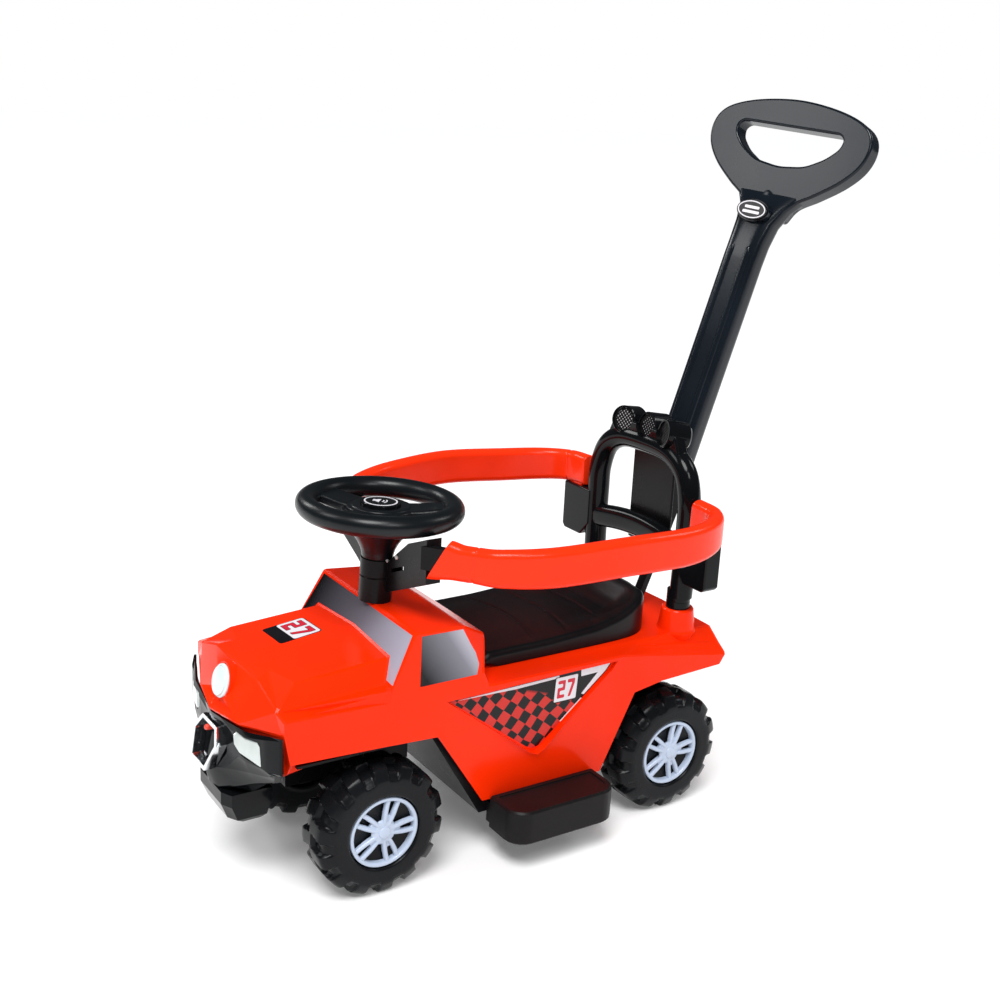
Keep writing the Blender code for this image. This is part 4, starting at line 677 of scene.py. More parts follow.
def digit_outline(digit, left, low, width, height, grow=0.0):
    """Outline of one block digit with soft corners, made wider all round by a margin."""
    corners = [(left + a * width, low + b * height) for a, b in DIGIT_SHAPES[digit]]
    return rounded(grown(corners, grow), 0.0016, 4)


def grown(outline, width):
    """Outline moved outwards by a width; the corners run clockwise."""
    if not width:
        return outline
    points = []
    for k, corner in enumerate(outline):
        corner = Vector(corner)
        before = (corner - Vector(outline[k - 1])).normalized()
        after = (Vector(outline[(k + 1) % len(outline)]) - corner).normalized()
        lean = Vector((-before.y, before.x)) + Vector((-after.y, after.x))
        points.append(tuple(corner + lean * (width / (1.0 + before.dot(after)))))
    return points


CAR_NUMBER = "27"


def plate(left, low, right, high, radius, count=5):
    """Outline of a rectangle with rounded corners."""
    return rounded([(left, low), (right, low), (right, high), (left, high)], radius, count)


def hood_plate():
    """White number plate print on the hood, with a black strip along its front edge."""
    def on_hood(points):
        return [(-0.0290 + a - 0.115 * b, -0.2400 + b) for a, b in points]

    outline = plate(-0.0262, -0.0268, 0.0262, 0.0268, 0.005)
    field = plate(-0.0250, -0.0090, 0.0250, 0.0256, 0.004)
    for name, material, points, lift in (("edge", BLACK_PRINT, outline, 0.0002),
                                         ("field", WHITE_PRINT, field, 0.0003)):
        lay(on_hood(points), "Z", HOOD_START, lift, "hood_print_" + name, material)
    for name, material, grow, lift in (("number_edge", BLACK_PRINT, 0.0007, 0.0004),
                                       ("number", RED_PRINT, 0.0, 0.0005)):
        for k, digit in enumerate(CAR_NUMBER):
            points = on_hood(digit_outline(digit, -0.0195 + 0.0225 * k, -0.0052, 0.0165, 0.0260, grow))
            lay(points, "Z", HOOD_START, lift, "hood_print_%s_%d" % (name, k + 1), material)


window_prints()
hood_plate()


# Side prints in the sunk panels

CHECKER_BLACK = (0.004, 0.004, 0.005)
FADE_SLOPE = 0.35


def checker_film():
    """Printed film with a soft red and black checker that fades into black."""
    made = film("checker_film", CHECKER_BLACK, 0.25)
    tree = made.node_tree
    place = add(tree, "TexCoord", {}, "Object")
    sway = add(tree, "TexNoise", {"Scale": 9.0, "Vector": place}, "Color")
    swayed = add(tree, "VectorMath", {0: sway, 1: (0.0, 0.030, 0.030), 2: place}, "Vector",
                 operation="MULTIPLY_ADD")
    slanted = add(tree, "Mapping", {"Rotation": (math.radians(38.0), 0.0, 0.0), "Vector": swayed}, "Vector")
    flat = add(tree, "VectorMath", {0: slanted, 1: (0.0, 1.0, 1.0)}, "Vector", operation="MULTIPLY")
    squares = add(tree, "TexChecker", {"Scale": 76.0, "Color1": (0.62, 0.028, 0.020, 1.0),
                                       "Color2": (*CHECKER_BLACK, 1.0), "Vector": flat}, "Color")
    depth = add(tree, "SeparateXYZ", {"Vector": place}, "Y")
    height = depth.node.outputs["Z"]
    line = add(tree, "Math", {0: depth, 1: FADE_SLOPE, 2: height}, "Value", operation="MULTIPLY_ADD")
    middle = CAR @ Vector((0.0, 0.010, 0.187))
    level = middle.z + FADE_SLOPE * middle.y
    fade = add(tree, "MapRange", {"From Min": level - 0.002, "From Max": level + 0.002, "Value": line}, "Result")
    blend = add(tree, "Mix", {"Factor": fade, "A": squares, "B": (*CHECKER_BLACK, 1.0)}, "Result", data_type="RGBA")
    return finish_with(made, {"Base Color": blend})


def side_prints():
    """Prints in the sunk side panels: checker field, white bands and a tile with the car's number."""
    base = rounded(tenths("-1190 2052 / 1045 2080 / 975 1985 / 125 1205 / 38 1165 / -60 1205"), 0.004)
    top_band = rounded(tenths("-1080 2034 / 290 2062 / 290 2030 / -300 2012"), 0.0008, 3)
    corner_band = tenths("600 2072 / 1020 2075 / 960 1990 / 680 1735 / 640 1752 / 850 1990 / 610 1985")
    thin_band = tenths("640 1700 / 655 1690 / 380 1438 / 368 1448")
    tile, inner = plate(0.0235, 0.1700, 0.0575, 0.2045, 0.003), plate(0.0250, 0.1715, 0.0560, 0.2030, 0.002)
    prints = (("field", base, checker_film(), 0.0002), ("top_band", top_band, WHITE_PRINT, 0.0003),
              ("corner_band", corner_band, WHITE_PRINT, 0.0003), ("thin_band", thin_band, WHITE_PRINT, 0.0003),
              ("tile_edge", tile, BLACK_PRINT, 0.0003), ("tile", inner, WHITE_PRINT, 0.0004))
    for side, side_name in SIDES:
        for name, outline, material, lift in prints:
            lay(outline, "X", side * SIDE_START, lift, "side_print_%s_%s" % (name, side_name), material)
        for k, digit in enumerate(CAR_NUMBER):
            strokes = digit_outline(digit, -0.0118 + 0.0132 * k, -0.0115, 0.0104, 0.0230)
            points = [(0.0405 + side * a, 0.1872 + b) for a, b in strokes]
            lay(points, "X", side * SIDE_START, 0.0005, "side_print_digit_%d_%s" % (k + 1, side_name), RED_PRINT)


side_prints()


# Wheels

LUGS = 14
LUG_SLANT = 6.0


def smooth_step(low, high, value):
    t = min(1.0, max(0.0, (value - low) / (high - low)))
    return t * t * (3.0 - 2.0 * t)


def lug_height(angle, y):
    """Share of the full lug height at a place on the tread, in two slanted rows half a pitch apart."""
    pitch = 2 * math.pi / LUGS
    best = 0.0
    for side, start in ((1, 0.0), (-1, 0.5)):
        phase = (angle / pitch - start - side * y * LUG_SLANT) % 1.0
        lengthwise = 1.0 - smooth_step(0.245, 0.315, min(phase, 1.0 - phase))
        inner = smooth_step(-0.0050, -0.0025, side * y)
        best = max(best, lengthwise * inner)
    return best


def tyre():
    """Blow-moulded tyre on the Z axis, outer side up, with two rows of staggered lugs."""
    count = LUGS * 22
    groove, crown_drop = 0.0062, 0.0003
    outer_side = ((0.0044, 0.0195, 0), (0.0415, 0.0195, 0), (0.0428, 0.0205, 0), (0.0433, 0.0270, 0),
                  (0.0445, 0.0284, 0), (0.0462, 0.0288, 0), (0.0500, 0.0286, 0), (0.0560, 0.0289, 0),
                  (0.0610, 0.0287, 0), (0.0640, 0.0280, 0.3), (0.0668, 0.0266, 0.6), (0.0698, 0.0252, 0.85),
                  (0.0728, 0.0236, 1.0), (0.0752, 0.0216, 1.0), (0.0763, 0.0190, 1.0),
                  *((0.0768, y, 1.0) for y in (0.0150, 0.0110, 0.0072, 0.0048, 0.0034, 0.0018, 0.0)))
    stations = list(outer_side)
    stations += [(r, -y, share) for r, y, share in reversed(outer_side[4:-1])]
    stations += [(0.0420, -0.0290 + 0.001, 0), (0.0400, -0.0270, 0), (0.0385, -0.0200, 0), (0.0370, -0.0195, 0),
                 (0.0044, -0.0195, 0)]
    rings = []
    for radius, y, share in stations:
        ring = []
        for k in range(count):
            angle = 2 * math.pi * (k + 0.5) / count
            drop = groove * share * (1.0 - lug_height(angle, y)) if share else 0.0
            crown = 0.0 if abs(y) < 0.001 else crown_drop * (abs(y) / TYRE_HALF_WIDTH) ** 2
            r = radius - drop - crown
            ring.append((r * math.cos(angle), r * math.sin(angle), y))
        rings.append(ring)
    return loft(rings, ends=False)


def spoke_pair():
    """Two rounded bars that run together near the middle of the hub cap."""
    bars = None
    for side in (1, -1):
        rings = []
        for r, offset, half, low, high in tenths("""
            90 28 22 212 272 / 160 40 25 212 272 / 230 52 26 212 268 / 310 60 26 212 262 / 378 64 27 212 262"""):
            middle = side * offset
            rings.append([(r, middle - half, low), (r, middle + half, low), (r, middle + half, high - 0.0016),
                          (r, middle + half * 0.66, high - 0.0004), (r, middle + half * 0.2, high),
                          (r, middle - half * 0.2, high), (r, middle - half * 0.66, high - 0.0004),
                          (r, middle - half, high - 0.0016)])
        bar = loft(rings)
        bars = bar if bars is None else join(bars, bar)
    web = loft([[(r, -half, 0.0213), (r, half, 0.0213), (r, half, high), (r, -half, high)] for r, half,
                high in ((0.0095, 0.0040, 0.0258), (0.0200, 0.0046, 0.0246))])
    return join(bars, web)


def hubcap():
    cap = turned(tenths("362 198 / 366 250 / 372 266 / 380 272 / 400 272 / 408 268 / 412 258 / 412 198"), 96)
    middle = turned(tenths("""
        0 262 / 85 252 / 85 198 / 125 198 / 150 240 / 130 262 / 105 270 / 72 272 / 66 282 / 50 288 / 30 290 / 0
        290"""), 40)
    join(cap, middle)
    for spoke in range(5):
        join(cap, turn(spoke_pair(), 18 + 72 * spoke, "Z"))
    return cap


def wheels():
    kinds = ((tyre(), "tyre_moulded_", TYRE_BLACK, "tyre_black", "tyre_"),
             (hubcap(), "hubcap_painted_", SILVER, "hubcap_silver", "hubcap_"))
    for place, (side, axle_y) in WHEELS.items():
        for first, name, material, slot, node in kinds:
            item = turn(linked(name, first.data.copy()), 90 * side, "Y")
            shift(item, side * TYRE_MIDDLE_X, axle_y, AXLE_Z)
            show(item, name + place, material, "wheel_" + place, slot, node + place, smooth=38.0, weighted=False)
    for first, *_ in kinds:
        bpy.data.objects.remove(first)


wheels()


# Steering wheel, horn button and column

RIM_RADIUS = 0.082
RIM_TUBE = 0.0122
SPOKE_ANGLES = (-43.0, 64.0, -150.0)


def steering_wheel():
    rise = 0.112
    wheel = turned(tenths("""
        0 533 / 170 533 / 178 540 / 186 590 / 200 640 / 236 710 / 300 800 / 365 880 / 420 960 / 430 1010 / 425
        1068 / 415 1078 / 395 1080 / 388 1086 / 380 1110 / 370 1120 / 335 1128 / 328 1138 / 310 1144 / 262 1146
        / 245 1136 / 0 1136"""), 72)
    turns = [2 * math.pi * k / 96 for k in range(96)]
    circle = [Vector((RIM_RADIUS * math.cos(t), RIM_RADIUS * math.sin(t), rise)) for t in turns]
    rim = loft(sweep_rings(circle, section(RIM_TUBE, RIM_TUBE, 28), Vector((0, 0, 1)), True), ends=False)
    for angle, inner, outer in zip(SPOKE_ANGLES, (0.030, 0.020, 0.020), (0.040, 0.017, 0.017)):
        rings = []
        for r, half, drop in ((0.0300, inner, -0.0040), (0.0450, inner * 0.75 + outer * 0.25, -0.0030),
                              (0.0600, (inner + outer) / 2, -0.0010), (0.0720, outer * 0.8 + inner * 0.2, 0.0002),
                              (0.0800, outer, 0.0006)):
            low, high = rise + drop - 0.0075, rise + drop + 0.0040
            rings.append([(r, -half, low + 0.002), (r, -half + 0.002, low), (r, half - 0.002, low),
                          (r, half, low + 0.002), (r, half, high - 0.003), (r, half - 0.0015, high - 0.0008),
                          (r, half - 0.004, high), (r, half * 0.5, high - 0.0006), (r, 0.0, high - 0.0008),
                          (r, -half * 0.5, high - 0.0006), (r, -half + 0.004, high),
                          (r, -half + 0.0015, high - 0.0008), (r, -half, high - 0.003)])
        join(wheel, turn(loft(rings), angle, "Z"))
    join(wheel, rim)
    cut(wheel, rod(0.0226, 0.1050, 0.13, 56))
    cut(wheel, rod(0.0043, 0.0, 0.0950, 24))
    return on_column(wheel)


def horn():
    """Round push button with a white ring and a plain loudspeaker sign."""
    cap = turned(tenths("""
        0 1085 / 223 1085 / 223 1160 / 219 1167 / 209 1171 / 203 1166 / 198 1166 / 188 1174 / 0 1178"""), 64)
    show(on_column(cap), "horn_button_cap", BLACK_GLOSS, "horn", "steering_black", "horn_button")
    ring = turned(tenths("172 1172 / 188 1172 / 188 1178 / 172 1179"), 64)
    show(on_column(ring), "horn_button_ring", WHITE_PRINT, "horn", "steering_black")
    sign_low, sign_high = 0.1172, 0.11815
    horn_mouth = tenths("-90 -24 / -60 -24 / -10 -62 / -10 62 / -60 24 / -90 24")
    sign = prism(horn_mouth, sign_low, sign_high, "Z")
    for radius in (0.0050, 0.0086):
        band = arc(-0.0010, 0.0, radius, -42, 42, 9) + arc(-0.0010, 0.0, radius - 0.0013, 42, -42, 9)
        join(sign, prism(band, sign_low, sign_high, "Z"))
    show(on_column(turn(sign, SPOKE_ANGLES[0] + 90.0, "Z")), "horn_button_sign", WHITE_PRINT, "horn",
         "steering_black", weighted=False)


show(steering_wheel(), "steering_wheel_moulded", STEER_BLACK, "steering", "steering_black", "steering_wheel",
     smooth=40.0)
horn()


def refined(node, width, segments=2, angle=28.0):
    """Copy of a CAD node's solid with its sharp edges rounded, in car coordinates."""
    shape = bmesh.new()
    shape.from_mesh(frame["nodes"][node].data)
    bmesh.ops.remove_doubles(shape, verts=shape.verts, dist=1e-6)
    bmesh.ops.dissolve_limit(shape, angle_limit=math.radians(0.6), verts=shape.verts, edges=shape.edges)
    made = item_from(shape, node + "_copy")
    moved(made, CAR.inverted())
    return bevelled(made, width, segments, angle)


def show_refined(node, name, material, slot, width, segments=2, angle=28.0):
    show(refined(node, width, segments, angle), name, material, "car", slot, node)


def screws():
    """Small bright pan-head screws that clamp the bracket's left arm on the column."""
    for k, place in enumerate(((0.0164, -0.1472, 0.3407), (0.0374, -0.1458, 0.3512))):
        head = turned(tenths("0 -15 / 26 -15 / 26 6 / 21 13 / 0 16"), 24)
        for degrees in (0.0, 90.0):
            cut(head, turn(block((-0.0003, -0.0015, 0.0009), (0.0003, 0.0015, 0.003)), degrees, "Z"))
        shift(turn(head, 90, "X"), *place)
        show(head, "bracket_screw_%d" % (k + 1), SCREW_ZINC, "car", "zinc_steel", weighted=False)


screws()


def bracket():
    """Column base with its two arms; each arm ends in a tongue inside the rail."""
    made = refined("column_bracket", 0.0009)
    for side in (1, -1):
        tongue = loft([[(x, y - 0.0062, 0.3560), (x, y + 0.0062, 0.3560), (x, y + 0.0062, 0.3820),
                        (x, y - 0.0062, 0.3820)] for x, y in ((0.0940, -0.1420), (0.1150, -0.1275))])
        join(made, sided(tongue, side))
    return made


show(bracket(), "column_bracket_moulded", BLACK, "car", "black_plastic", "column_bracket")


# Seat

SEAT_STATIONS = tenths("""
    -580 865 2262 2322 2324 / -555 875 2262 2350 2355 / -500 880 2262 2378 2395 / -380 880 2206 2385 2405 / 300
    885 2206 2390 2400 / 1000 885 2206 2430 2390 / 1350 875 2206 2500 2385 / 1560 850 2206 2570 2400 / 1700 800
    2206 2620 2470 / 1820 715 2206 2650 2630 / 1920 600 2206 2650 2670 / 1990 440 2206 2590 2610 / 2020 330 2206
    2480 2490""")
SEAT_GROOVES = (0.012, 0.062, 0.112)
SEAT_EDGE = 0.0075
EAR_SLOT = tenths("""
    -600 2200 / -600 2400 / -545 2400 / -545 2335 / -520 2345 / -490 2350 / -445 2335 / -430 2300 / -430 2200""")


def seat_station(y):
    """Half width, underside, edge and middle heights of the seat at one place."""
    for near, far in zip(SEAT_STATIONS, SEAT_STATIONS[1:]):
        if y <= far[0]:
            t = (y - near[0]) / (far[0] - near[0])
            return [a + (b - a) * t for a, b in zip(near[1:], far[1:])]
    return list(SEAT_STATIONS[-1][1:])


def seat():
    """Hollow saddle with a raised rear lip, rounded sides, three shallow curved grooves and its hinge lugs."""
    ys = [-0.0580, -0.0574, -0.0566, -0.0555, -0.0540, -0.0520, -0.0500]
    y = -0.0480
    while y < 0.1560:
        ys.append(y)
        y += 0.0014
    ys += [0.1560 + 0.0016 * k for k in range(29)]
    rings = []
    for y in ys:
        reach = (-0.006, -0.003, 0.0, 0.003, 0.006) if -0.045 < y < 0.196 else (0.0,)
        near = [seat_station(y + away) for away in reach]
        half, low, edge, middle = (sum(values) / len(values) for values in zip(*near))
        low = seat_station(y)[1]
        r = min(SEAT_EDGE, 0.8 * (edge - low))
        ring = [(half, y, low)] + [(a, y, b) for a, b in arc(half - r, edge - r, r, 0, 90, 6)]
        steps = 24
        for k in range(1, steps):
            x = (half - r) * (1 - 2 * k / steps)
            share = abs(x) / (half - r)
            blend = smooth_step(0.45, 0.95, share)
            z = middle * (1 - blend) + edge * blend
            for line in SEAT_GROOVES:
                bow = line + 0.020 * (1.0 - (x / 0.08) ** 2)
                z -= 0.0016 * math.exp(-((y - bow) / 0.0014) ** 2) * (1.0 - smooth_step(0.062, 0.078, abs(x)))
            ring.append((x, y, z))
        ring += [(a, y, b) for a, b in arc(-half + r, edge - r, r, 90, 180, 6)] + [(-half, y, low)]
        rings.append(ring)
    cushion = loft(rings)
    inner = []
    last = len(SEAT_STATIONS) - 1
    for k, (y, half, low, edge, middle) in enumerate(SEAT_STATIONS):
        w, e, m, low_in = half - WALL, edge - WALL, middle - WALL, low - 0.01
        y_in = y + WALL if k == 0 else (y - WALL if k == last else y)
        inner.append([(w, y_in, low_in), (w, y_in, e - 0.005), (w - 0.005, y_in, e), (w * 0.42, y_in, m - 0.001),
                      (-w * 0.42, y_in, m - 0.001), (-w + 0.005, y_in, e), (-w, y_in, e - 0.005),
                      (-w, y_in, low_in)])
    cut(cushion, loft(inner))
    for side in (1, -1):
        lug = block((0.0665, -0.0545, 0.2262), (0.0705, -0.0440, 0.2340))
        slot = prism(EAR_SLOT, 0.0562, 0.0638)
        join(cushion, sided(lug, side))
        cut(cushion, sided(slot, side))
    return cushion


show(seat(), "seat_moulded", SEAT_BLACK, "seat_lid", "seat_black", "seat", smooth=45.0)


# Guard rails

RAIL_KNOTS = tenths("""
    1075 -1335 3690 / 1370 -1100 3690 / 1610 -880 3690 / 1840 -350 3700 / 1950 500 3730 / 1880 1400 3690 / 1700
    1920 3695 / 1430 2180 3710 / 1085 2220 3720""")
RAIL_SEAMS = (0.135, 0.870)
END_LEAN = 0.56
LEANING_RINGS = 26


def rail_section(share):
    """Rounded box section, flared at the front and tallest in the middle, with a shallow groove at each seam."""
    high = 0.0195 + 0.0025 * smooth_step(0.10, 0.40, share) - 0.0015 * smooth_step(0.60, 0.90, share)
    high += 0.0030 * (1.0 - smooth_step(0.0, 0.08, share))
    deep = 0.0095
    for seam in RAIL_SEAMS:
        groove = 0.0012 * math.exp(-((share - seam) / 0.0030) ** 2)
        high -= groove
        deep -= groove
    r = min(0.0082, deep - 0.0004)
    points = []
    for centre_a, centre_b, start in ((deep - r, high - r, 0), (-deep + r, high - r, 90),
                                      (-deep + r, -high + r, 180), (deep - r, -high + r, 270)):
        points += arc(centre_a, centre_b, r, start, start + 90, 6)
    return points


def shrunk(ring, share):
    """Ring drawn in towards its own middle."""
    middle = sum(ring, Vector()) / len(ring)
    return [middle + (point - middle) * share for point in ring]


def guardrail():
    """Left rail with its slanted front end, its bore for the bracket's tongue and its peg for the socket."""
    path = smooth_path(RAIL_KNOTS, 20)
    up = Vector((0, 0, 1))
    rings = sweep_rings(path, rail_section, up)
    along = (path[1] - path[0]).normalized()
    for k in range(LEANING_RINGS):
        lean = END_LEAN * (1.0 - k / LEANING_RINGS)
        rings[k] = [point + along * (lean * (point.z - path[k].z)) for point in rings[k]]
    first = rings[0]
    rings[0] = shrunk(first, 0.93)
    rings.insert(1, [point.lerp(after, 0.15) for point, after in zip(first, rings[1])])
    rings[-1] = shrunk(rings[-1], 0.93)
    rail = loft(rings)
    hollow = path[:-12]
    hollow[0] = hollow[0] + (hollow[0] - hollow[1]) * 8.0
    cut(rail, loft(sweep_rings(hollow, section(0.0068, 0.0145, 16, 4.0), up)))
    return join(rail, bevelled(block((0.1130, 0.2145, 0.3080), (0.1400, 0.2295, 0.3700)), 0.0012, 2))


LEFT_RAIL = guardrail()
RIGHT_RAIL = flip(linked("right_rail", LEFT_RAIL.data.copy()))
show(LEFT_RAIL, "guardrail_moulded_left", RAIL_RED, "car", "rail_red", "guardrail_left", smooth=40.0)
show(RIGHT_RAIL, "guardrail_moulded_right", RAIL_RED, "car", "rail_red", "guardrail_right", smooth=40.0)


# Backrest, its pods and their grilles

POD_LENGTH = 0.032
POD_RADIUS = 0.0177
POD_BORE = 0.0152
PODS = ((0.0395, 0.2180, 0.4575, 17.0), (0.0, 0.2240, 0.4575, 0.0), (-0.0395, 0.2180, 0.4575, -17.0))
FRAME_TUBE = 0.0142
BAR_REACH = 0.088


def on_pod(item, pod):
    """Place a shape made along Z in a pod, whose open end looks forwards, a little down and out."""
    x, y, z, fan = pod
    turn(turn(item, 90.0, "X"), -10.0, "X")
    return shift(turn(item, -fan, "Z"), x, y, z)


def backrest():
    """Tube arch with its arched cross bar, top web, legs, rail sockets and bored pods."""
    half = tenths("885 2260 2620 / 895 2260 3000 / 900 2260 3500 / 885 2260 3850 / 760 2270 4160 / 460 2280 4335")
    knots = half + [(0.0, 0.228, 0.4370)] + [(-x, y, z) for x, y, z in reversed(half)]
    back = loft(sweep_rings(smooth_path(knots, 8), section(FRAME_TUBE, FRAME_TUBE, 28), Vector((0, 1, 0))))
    rings = []
    for k in range(17):
        x = -BAR_REACH + BAR_REACH / 8 * k
        y = 0.2250 + 0.0035 * smooth_step(0.0, 1.0, 1.0 - abs(x) / BAR_REACH)
        rise = 0.0100 * (1.0 - (x / BAR_REACH) ** 2)
        rings.append([(x, y + a, 0.3165 + rise + b) for a, b in section(0.0112, 0.0150, 20, 2.6)])
    join(back, loft(rings))
    web = loft([[(x, y, z) for x, z in tenths("""
        -760 4230 / -600 4580 / 600 4580 / 760 4230 / 400 4300 / -400 4300""")] for y in (0.2190, 0.2350)])
    join(back, bevelled(web, 0.003, 3))
    for side in (1, -1):
        leg = turned(tenths("""
            0 1960 / 147 1960 / 147 2560 / 143 2566 / 143 2574 / 147 2580 / 147 2700 / 0 2700"""), 40)
        shift(leg, LEG_X, LEG_Y)
        socket = prism(tenths("880 3060 / 1060 2860 / 1400 2860 / 1450 2910 / 1450 3510 / 880 3510"), 0.2105,
                       0.2335, "Y")
        bevelled(socket, 0.0022, 3)
        cut(socket, block((0.1125, 0.2140, 0.3050), (0.1405, 0.2300, 0.36)))
        join(back, sided(leg, side), sided(socket, side))
    for pod in PODS:
        shell = turned([(0.0, -POD_LENGTH), (POD_RADIUS - 0.003, -POD_LENGTH), (POD_RADIUS, -POD_LENGTH + 0.003),
                        (POD_RADIUS, -0.0010), (POD_RADIUS - 0.0010, 0.0), (0.0, 0.0)], 40)
        join(back, on_pod(shell, pod))
    for pod in PODS:
        cut(back, on_pod(turned([(0.0, -0.0270), (POD_BORE, -0.0270), (POD_BORE, 0.02), (0.0, 0.02)], 44), pod))
    return back


def lamp_grille():
    """Round lattice of diagonal bars inside a ring, the second layer of bars a little thinner."""
    disc = turned(tenths("146 -40 / 146 -20 / 128 -20 / 128 -40"), 40)
    for angle, low, high in ((45, -0.0038, -0.0023), (-45, -0.0037, -0.0024)):
        for k in range(-3, 4):
            offset = 0.0036 * k
            reach = math.sqrt(0.0136 ** 2 - offset ** 2)
            join(disc, turn(block((-reach, offset - 0.0007, low), (reach, offset + 0.0007, high)), angle, "Z"))
    return disc


show(backrest(), "backrest_moulded", BLACK_GLOSS, "car", "black_plastic", "backrest", smooth=40.0)
for pod_place, pod_side in zip(PODS, ("left", "middle", "right")):
    # Each pod's reflector glows with painted light from its material, though the pod is not lit
    reflector = turned(tenths("0 -75 / 143 -65 / 147 -55 / 147 -44 / 0 -52"), 40)
    show(on_pod(reflector, pod_place), "lamp_reflector_painted_glow_" + pod_side, REFLECTOR_PAINTED_GLOW, "car", "white_lens", weighted=False)
    show(on_pod(lamp_grille(), pod_place), "lamp_grille_fine_" + pod_side, BLACK, "car", "lamp_grille_black",
         "lamp_grille_" + pod_side, weighted=False)


# Push handle

def ovals(*stations):
    """Oval solid across the handle's neck through (half width, half height, y) stations."""
    return loft([[(x, y, z + 0.002) for x, z in section(w, h, 48)] for w, h, y in stations])


def push_handle():
    """Stem with two ribs and its peg, ring grip, the badge's pad and a button-like boss above it."""
    half_width, half_depth = 0.0240, 0.0172
    rings = []
    for width, depth, offset, z in ((0.0190, 0.0130, 0.0, -0.3250), (0.0225, 0.0160, 0.0, -0.3225),
                                    (half_width, half_depth, 0.0, -0.3190), (half_width, half_depth, 0.0, -0.0600),
                                    (0.0245, 0.0168, 0.001, -0.0350), (0.0270, 0.0160, 0.004, -0.0100),
                                    (0.0345, 0.0145, 0.010, 0.0120), (0.0480, 0.0125, 0.015, 0.0300)):
        rings.append([(x, y + offset, z) for x, y in section(width, depth, 36, 3.6)])
    stem = loft(rings)
    for x in (-0.0115, 0.0115):
        rib = turned(tenths("0 -3120 / 26 -3105 / 42 -3070 / 42 -500 / 30 -440 / 0 -410"), 20)
        join(stem, shift(rib, x, -half_depth + 0.0022))
    outer = tenths("265 0 / 375 200 / 620 360 / 900 570 / 1085 790 / 1145 1020 / 1080 1220 / 880 1355 / 500 1455")
    knots = [(x, z, 0) for x, z in outer + [(0.0, 0.1500)] + [(-x, z) for x, z in reversed(outer)]]
    hole = tenths("0 655 / 350 700 / 600 840 / 735 980 / 755 1090 / 690 1148")
    hole = rounded(hole + [(-x, z) for x, z in reversed(hole) if x > 0.0], 0.010, 6)
    grip = prism([(p.x, p.y) for p in smooth_path(knots, 7)], -0.0120, 0.0120, "Y")
    cut(grip, prism(hole, -0.03, 0.03, "Y"))
    bevelled(grip, 0.0068, 5, 60)
    join(stem, shift(grip, 0.0, 0.0170))
    join(stem, ovals((0.0228, 0.0139, -0.0020), (0.0228, 0.0139, -0.0168), (0.0223, 0.0134, -0.0173)))
    bump = turned(tenths("0 -60 / 62 -60 / 62 0 / 48 22 / 0 30"), 28)
    join(stem, shift(turn(bump, 90, "X"), 0.0, 0.0030, 0.0275), rod(0.0105, -0.3760, -0.3150, 40))
    return on_handle(stem)


def handle_badge():
    """Oval plate with a white ring and two plain bars."""
    oval = ovals((0.0215, 0.0126, -0.0176), (0.0215, 0.0126, -0.0194), (0.0208, 0.0119, -0.0200))
    show(on_handle(oval), "handle_badge_plate", BLACK_GLOSS, "handle", "handle_black", "handle_badge")
    ring = ovals((0.0196, 0.0108, -0.0198), (0.0196, 0.0108, -0.02025))
    cut(ring, ovals((0.0182, 0.0095, -0.019), (0.0182, 0.0095, -0.022)))
    show(on_handle(ring), "handle_badge_ring", WHITE_PRINT, "handle", "handle_black", weighted=False)
    for k, (z, half) in enumerate(((0.0048, 0.0105), (-0.0012, 0.0120))):
        bar = prism(plate(-half, z - 0.0017, half, z + 0.0017, 0.0012, 4), -0.0202, -0.0198, "Y")
        show(on_handle(bar), "handle_badge_bar_%d" % (k + 1), WHITE_PRINT, "handle", "handle_black", weighted=False)


show(push_handle(), "push_handle_moulded", HANDLE_BLACK, "handle", "handle_black", "push_handle", smooth=40.0)
handle_badge()
show_refined("handle_socket", "handle_socket_moulded", BLACK, "black_plastic", 0.0010)


# Bumper, lamps and grille

show_refined("front_bumper", "front_bumper_moulded", BLACK_GLOSS, "bumper_black", 0.0012, 3, 20.0)
show_refined("grille_ring", "grille_ring_plated", CHROME, "chrome_trim", 0.0005)


def headlamp():
    """White lens with a stepped rim and fine rings."""
    rings, rim_radius, rim_height, crown = 15, 0.0158, 0.0044, 0.0026
    profile = [(0.0, -0.007), (LAMP_RADIUS, -0.007), (LAMP_RADIUS, 0.0012), (0.0182, 0.0022), (0.0170, 0.0028),
               (0.0164, 0.0028), (rim_radius, rim_height)]
    for k in range(1, rings):
        ripple = 0.00025 if k % 2 else 0.0
        profile.append((rim_radius - 0.0150 * k / rings,
                        rim_height + crown * math.sin(math.radians(90 * k / rings)) + ripple))
    profile.append((0.0, 0.0071))
    return on_lamp(turned(profile, 64))


show(headlamp(), "headlamp_lens", WHITE_LENS, "car", "white_lens", "headlamp")
RED_DOT = turned(tenths("0 -160 / 36 -160 / 36 -10 / 32 12 / 20 26 / 0 32"), 28)
show(shift(turn(RED_DOT, 90.0, "X"), -0.0035, -0.3505, 0.1750), "grille_red_lamp", RED_LENS, "car", "clear_lens",
     weighted=False)
for end in ("left", "right"):
    show_refined("fog_lamp_" + end, "fog_lamp_lens_" + end, CLEAR_LENS, "clear_lens", 0.0007, 3)
    show_refined("footboard_" + end, "footboard_moulded_" + end, STEP_BLACK, "black_plastic", 0.0008)
show_refined("chassis", "chassis_moulded", BLACK, "black_plastic", 0.0006)


# Nodes that stay as they are get their own finish

KEPT_PAIRS = ("steering_knuckle_", "kingpin_nut_", "push_nut_front_", "push_nut_rear_")
KEPT = ["rear_axle", "tie_rod", "steering_shaft", "seat_hinge_pin"]
for kept in KEPT + [pair + end for pair in KEPT_PAIRS for end in ("left", "right")]:
    kept_mesh = frame["nodes"][kept].data
    kept_mesh.materials.clear()
    kept_mesh.materials.append(STEEL)


# Floor, light and camera

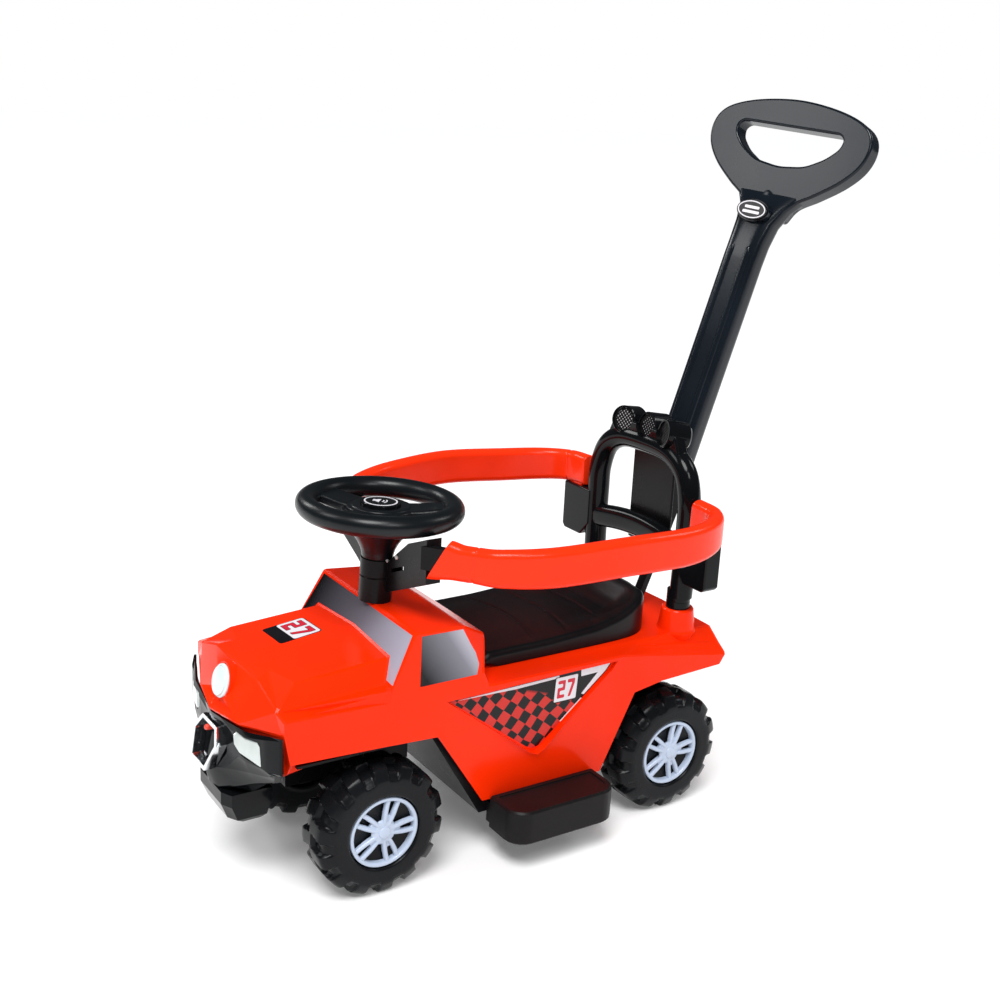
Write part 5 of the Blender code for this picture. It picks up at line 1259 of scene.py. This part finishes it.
WHITE = (1.0, 1.0, 1.0, 1.0)
LOOK_AT = Vector((0.0, 0.0, 0.3))
FLOOR_REACH = 30.0
# Name, place, size and power of the soft panels
PANELS = (("key", (1.7, -0.4, 1.9), 0.5, 8.0), ("side", (-0.75, -1.75, 2.05), 0.7, 9.0),
          ("rim", (-1.8, -0.75, 1.5), 0.5, 7.0), ("back", (0.5, 1.9, 1.8), 0.6, 6.0))


def floor():
    reach = FLOOR_REACH
    made = solid([(-reach, -reach, 0.0), (reach, -reach, 0.0), (reach, reach, 0.0), (-reach, reach, 0.0)],
                 [(0, 1, 2, 3)], "floor")
    white = surface("floor_white", (0.90, 0.90, 0.90), 0.60, 40.0, 0.0, 0.01, specular=0.1)
    made.data.materials.append(finish_with(white, {"Emission Color": WHITE, "Emission Strength": 0.12}))


def surround():
    """White behind the car, softer light on its surfaces and hardly any in its reflections."""
    world = bpy.data.worlds.new("studio")
    world.use_nodes = True
    bpy.context.scene.world = world
    tree = world.node_tree
    backdrop = feed(tree, tree.nodes["Background"], {"Color": WHITE, "Strength": 1.0}).outputs["Background"]
    soft = add(tree, "Background", {"Color": (0.97, 0.98, 1.0, 1.0), "Strength": 0.40}, "Background")
    dim = add(tree, "Background", {"Color": (0.90, 0.96, 1.0, 1.0), "Strength": 0.07}, "Background")
    seen = add(tree, "LightPath", {}, "Is Camera Ray")
    glossy = seen.node.outputs["Is Glossy Ray"]
    mirrored = add(tree, "MixShader", {"Fac": glossy, 1: soft, 2: dim}, "Shader")
    either = add(tree, "MixShader", {"Fac": seen, 1: mirrored, 2: backdrop}, "Shader")
    feed(tree, tree.nodes["World Output"], {"Surface": either})


def lights():
    """One broad soft sun and four soft panels."""
    sun = bpy.data.lights.new("sun", "SUN")
    sun.energy = 2.5
    sun.angle = math.radians(26.0)
    made = [(sun, (0.9, -0.9, 2.6))]
    for name, place, size, power in PANELS:
        light = bpy.data.lights.new(name, "AREA")
        light.energy = power
        light.size = size
        made.append((light, place))
    for light, place in made:
        lamp = linked(light.name, light)
        lamp.location = place
        lamp.rotation_euler = (Vector(place) - LOOK_AT).to_track_quat("Z", "Y").to_euler()


FOCAL_PIXELS = 1350.44
PHOTO_PIXELS = 1000.0
SENSOR_MM = 36.0
CAMERA_PLACE = Vector((1.26199, -0.82932, 0.84235))


def photo_camera():
    """Camera at the photograph's place, seen from the car's front left."""
    right = Vector((0.54162336, 0.83924742, 0.04804066))
    up = Vector((-0.26677672, 0.11741208, 0.95657963))
    back = Vector((0.79716643, -0.530922, 0.2874848))
    data = bpy.data.cameras.new("photo_camera")
    data.sensor_width = SENSOR_MM
    data.lens = FOCAL_PIXELS * SENSOR_MM / PHOTO_PIXELS
    camera = linked("photo_camera", data)
    camera.matrix_world = Matrix.Translation(CAR @ CAMERA_PLACE) @ Matrix((right, up, back)).transposed().to_4x4()
    bpy.context.scene.camera = camera


floor()
surround()
lights()
bpy.context.scene.view_settings.view_transform = "Standard"
photo_camera()
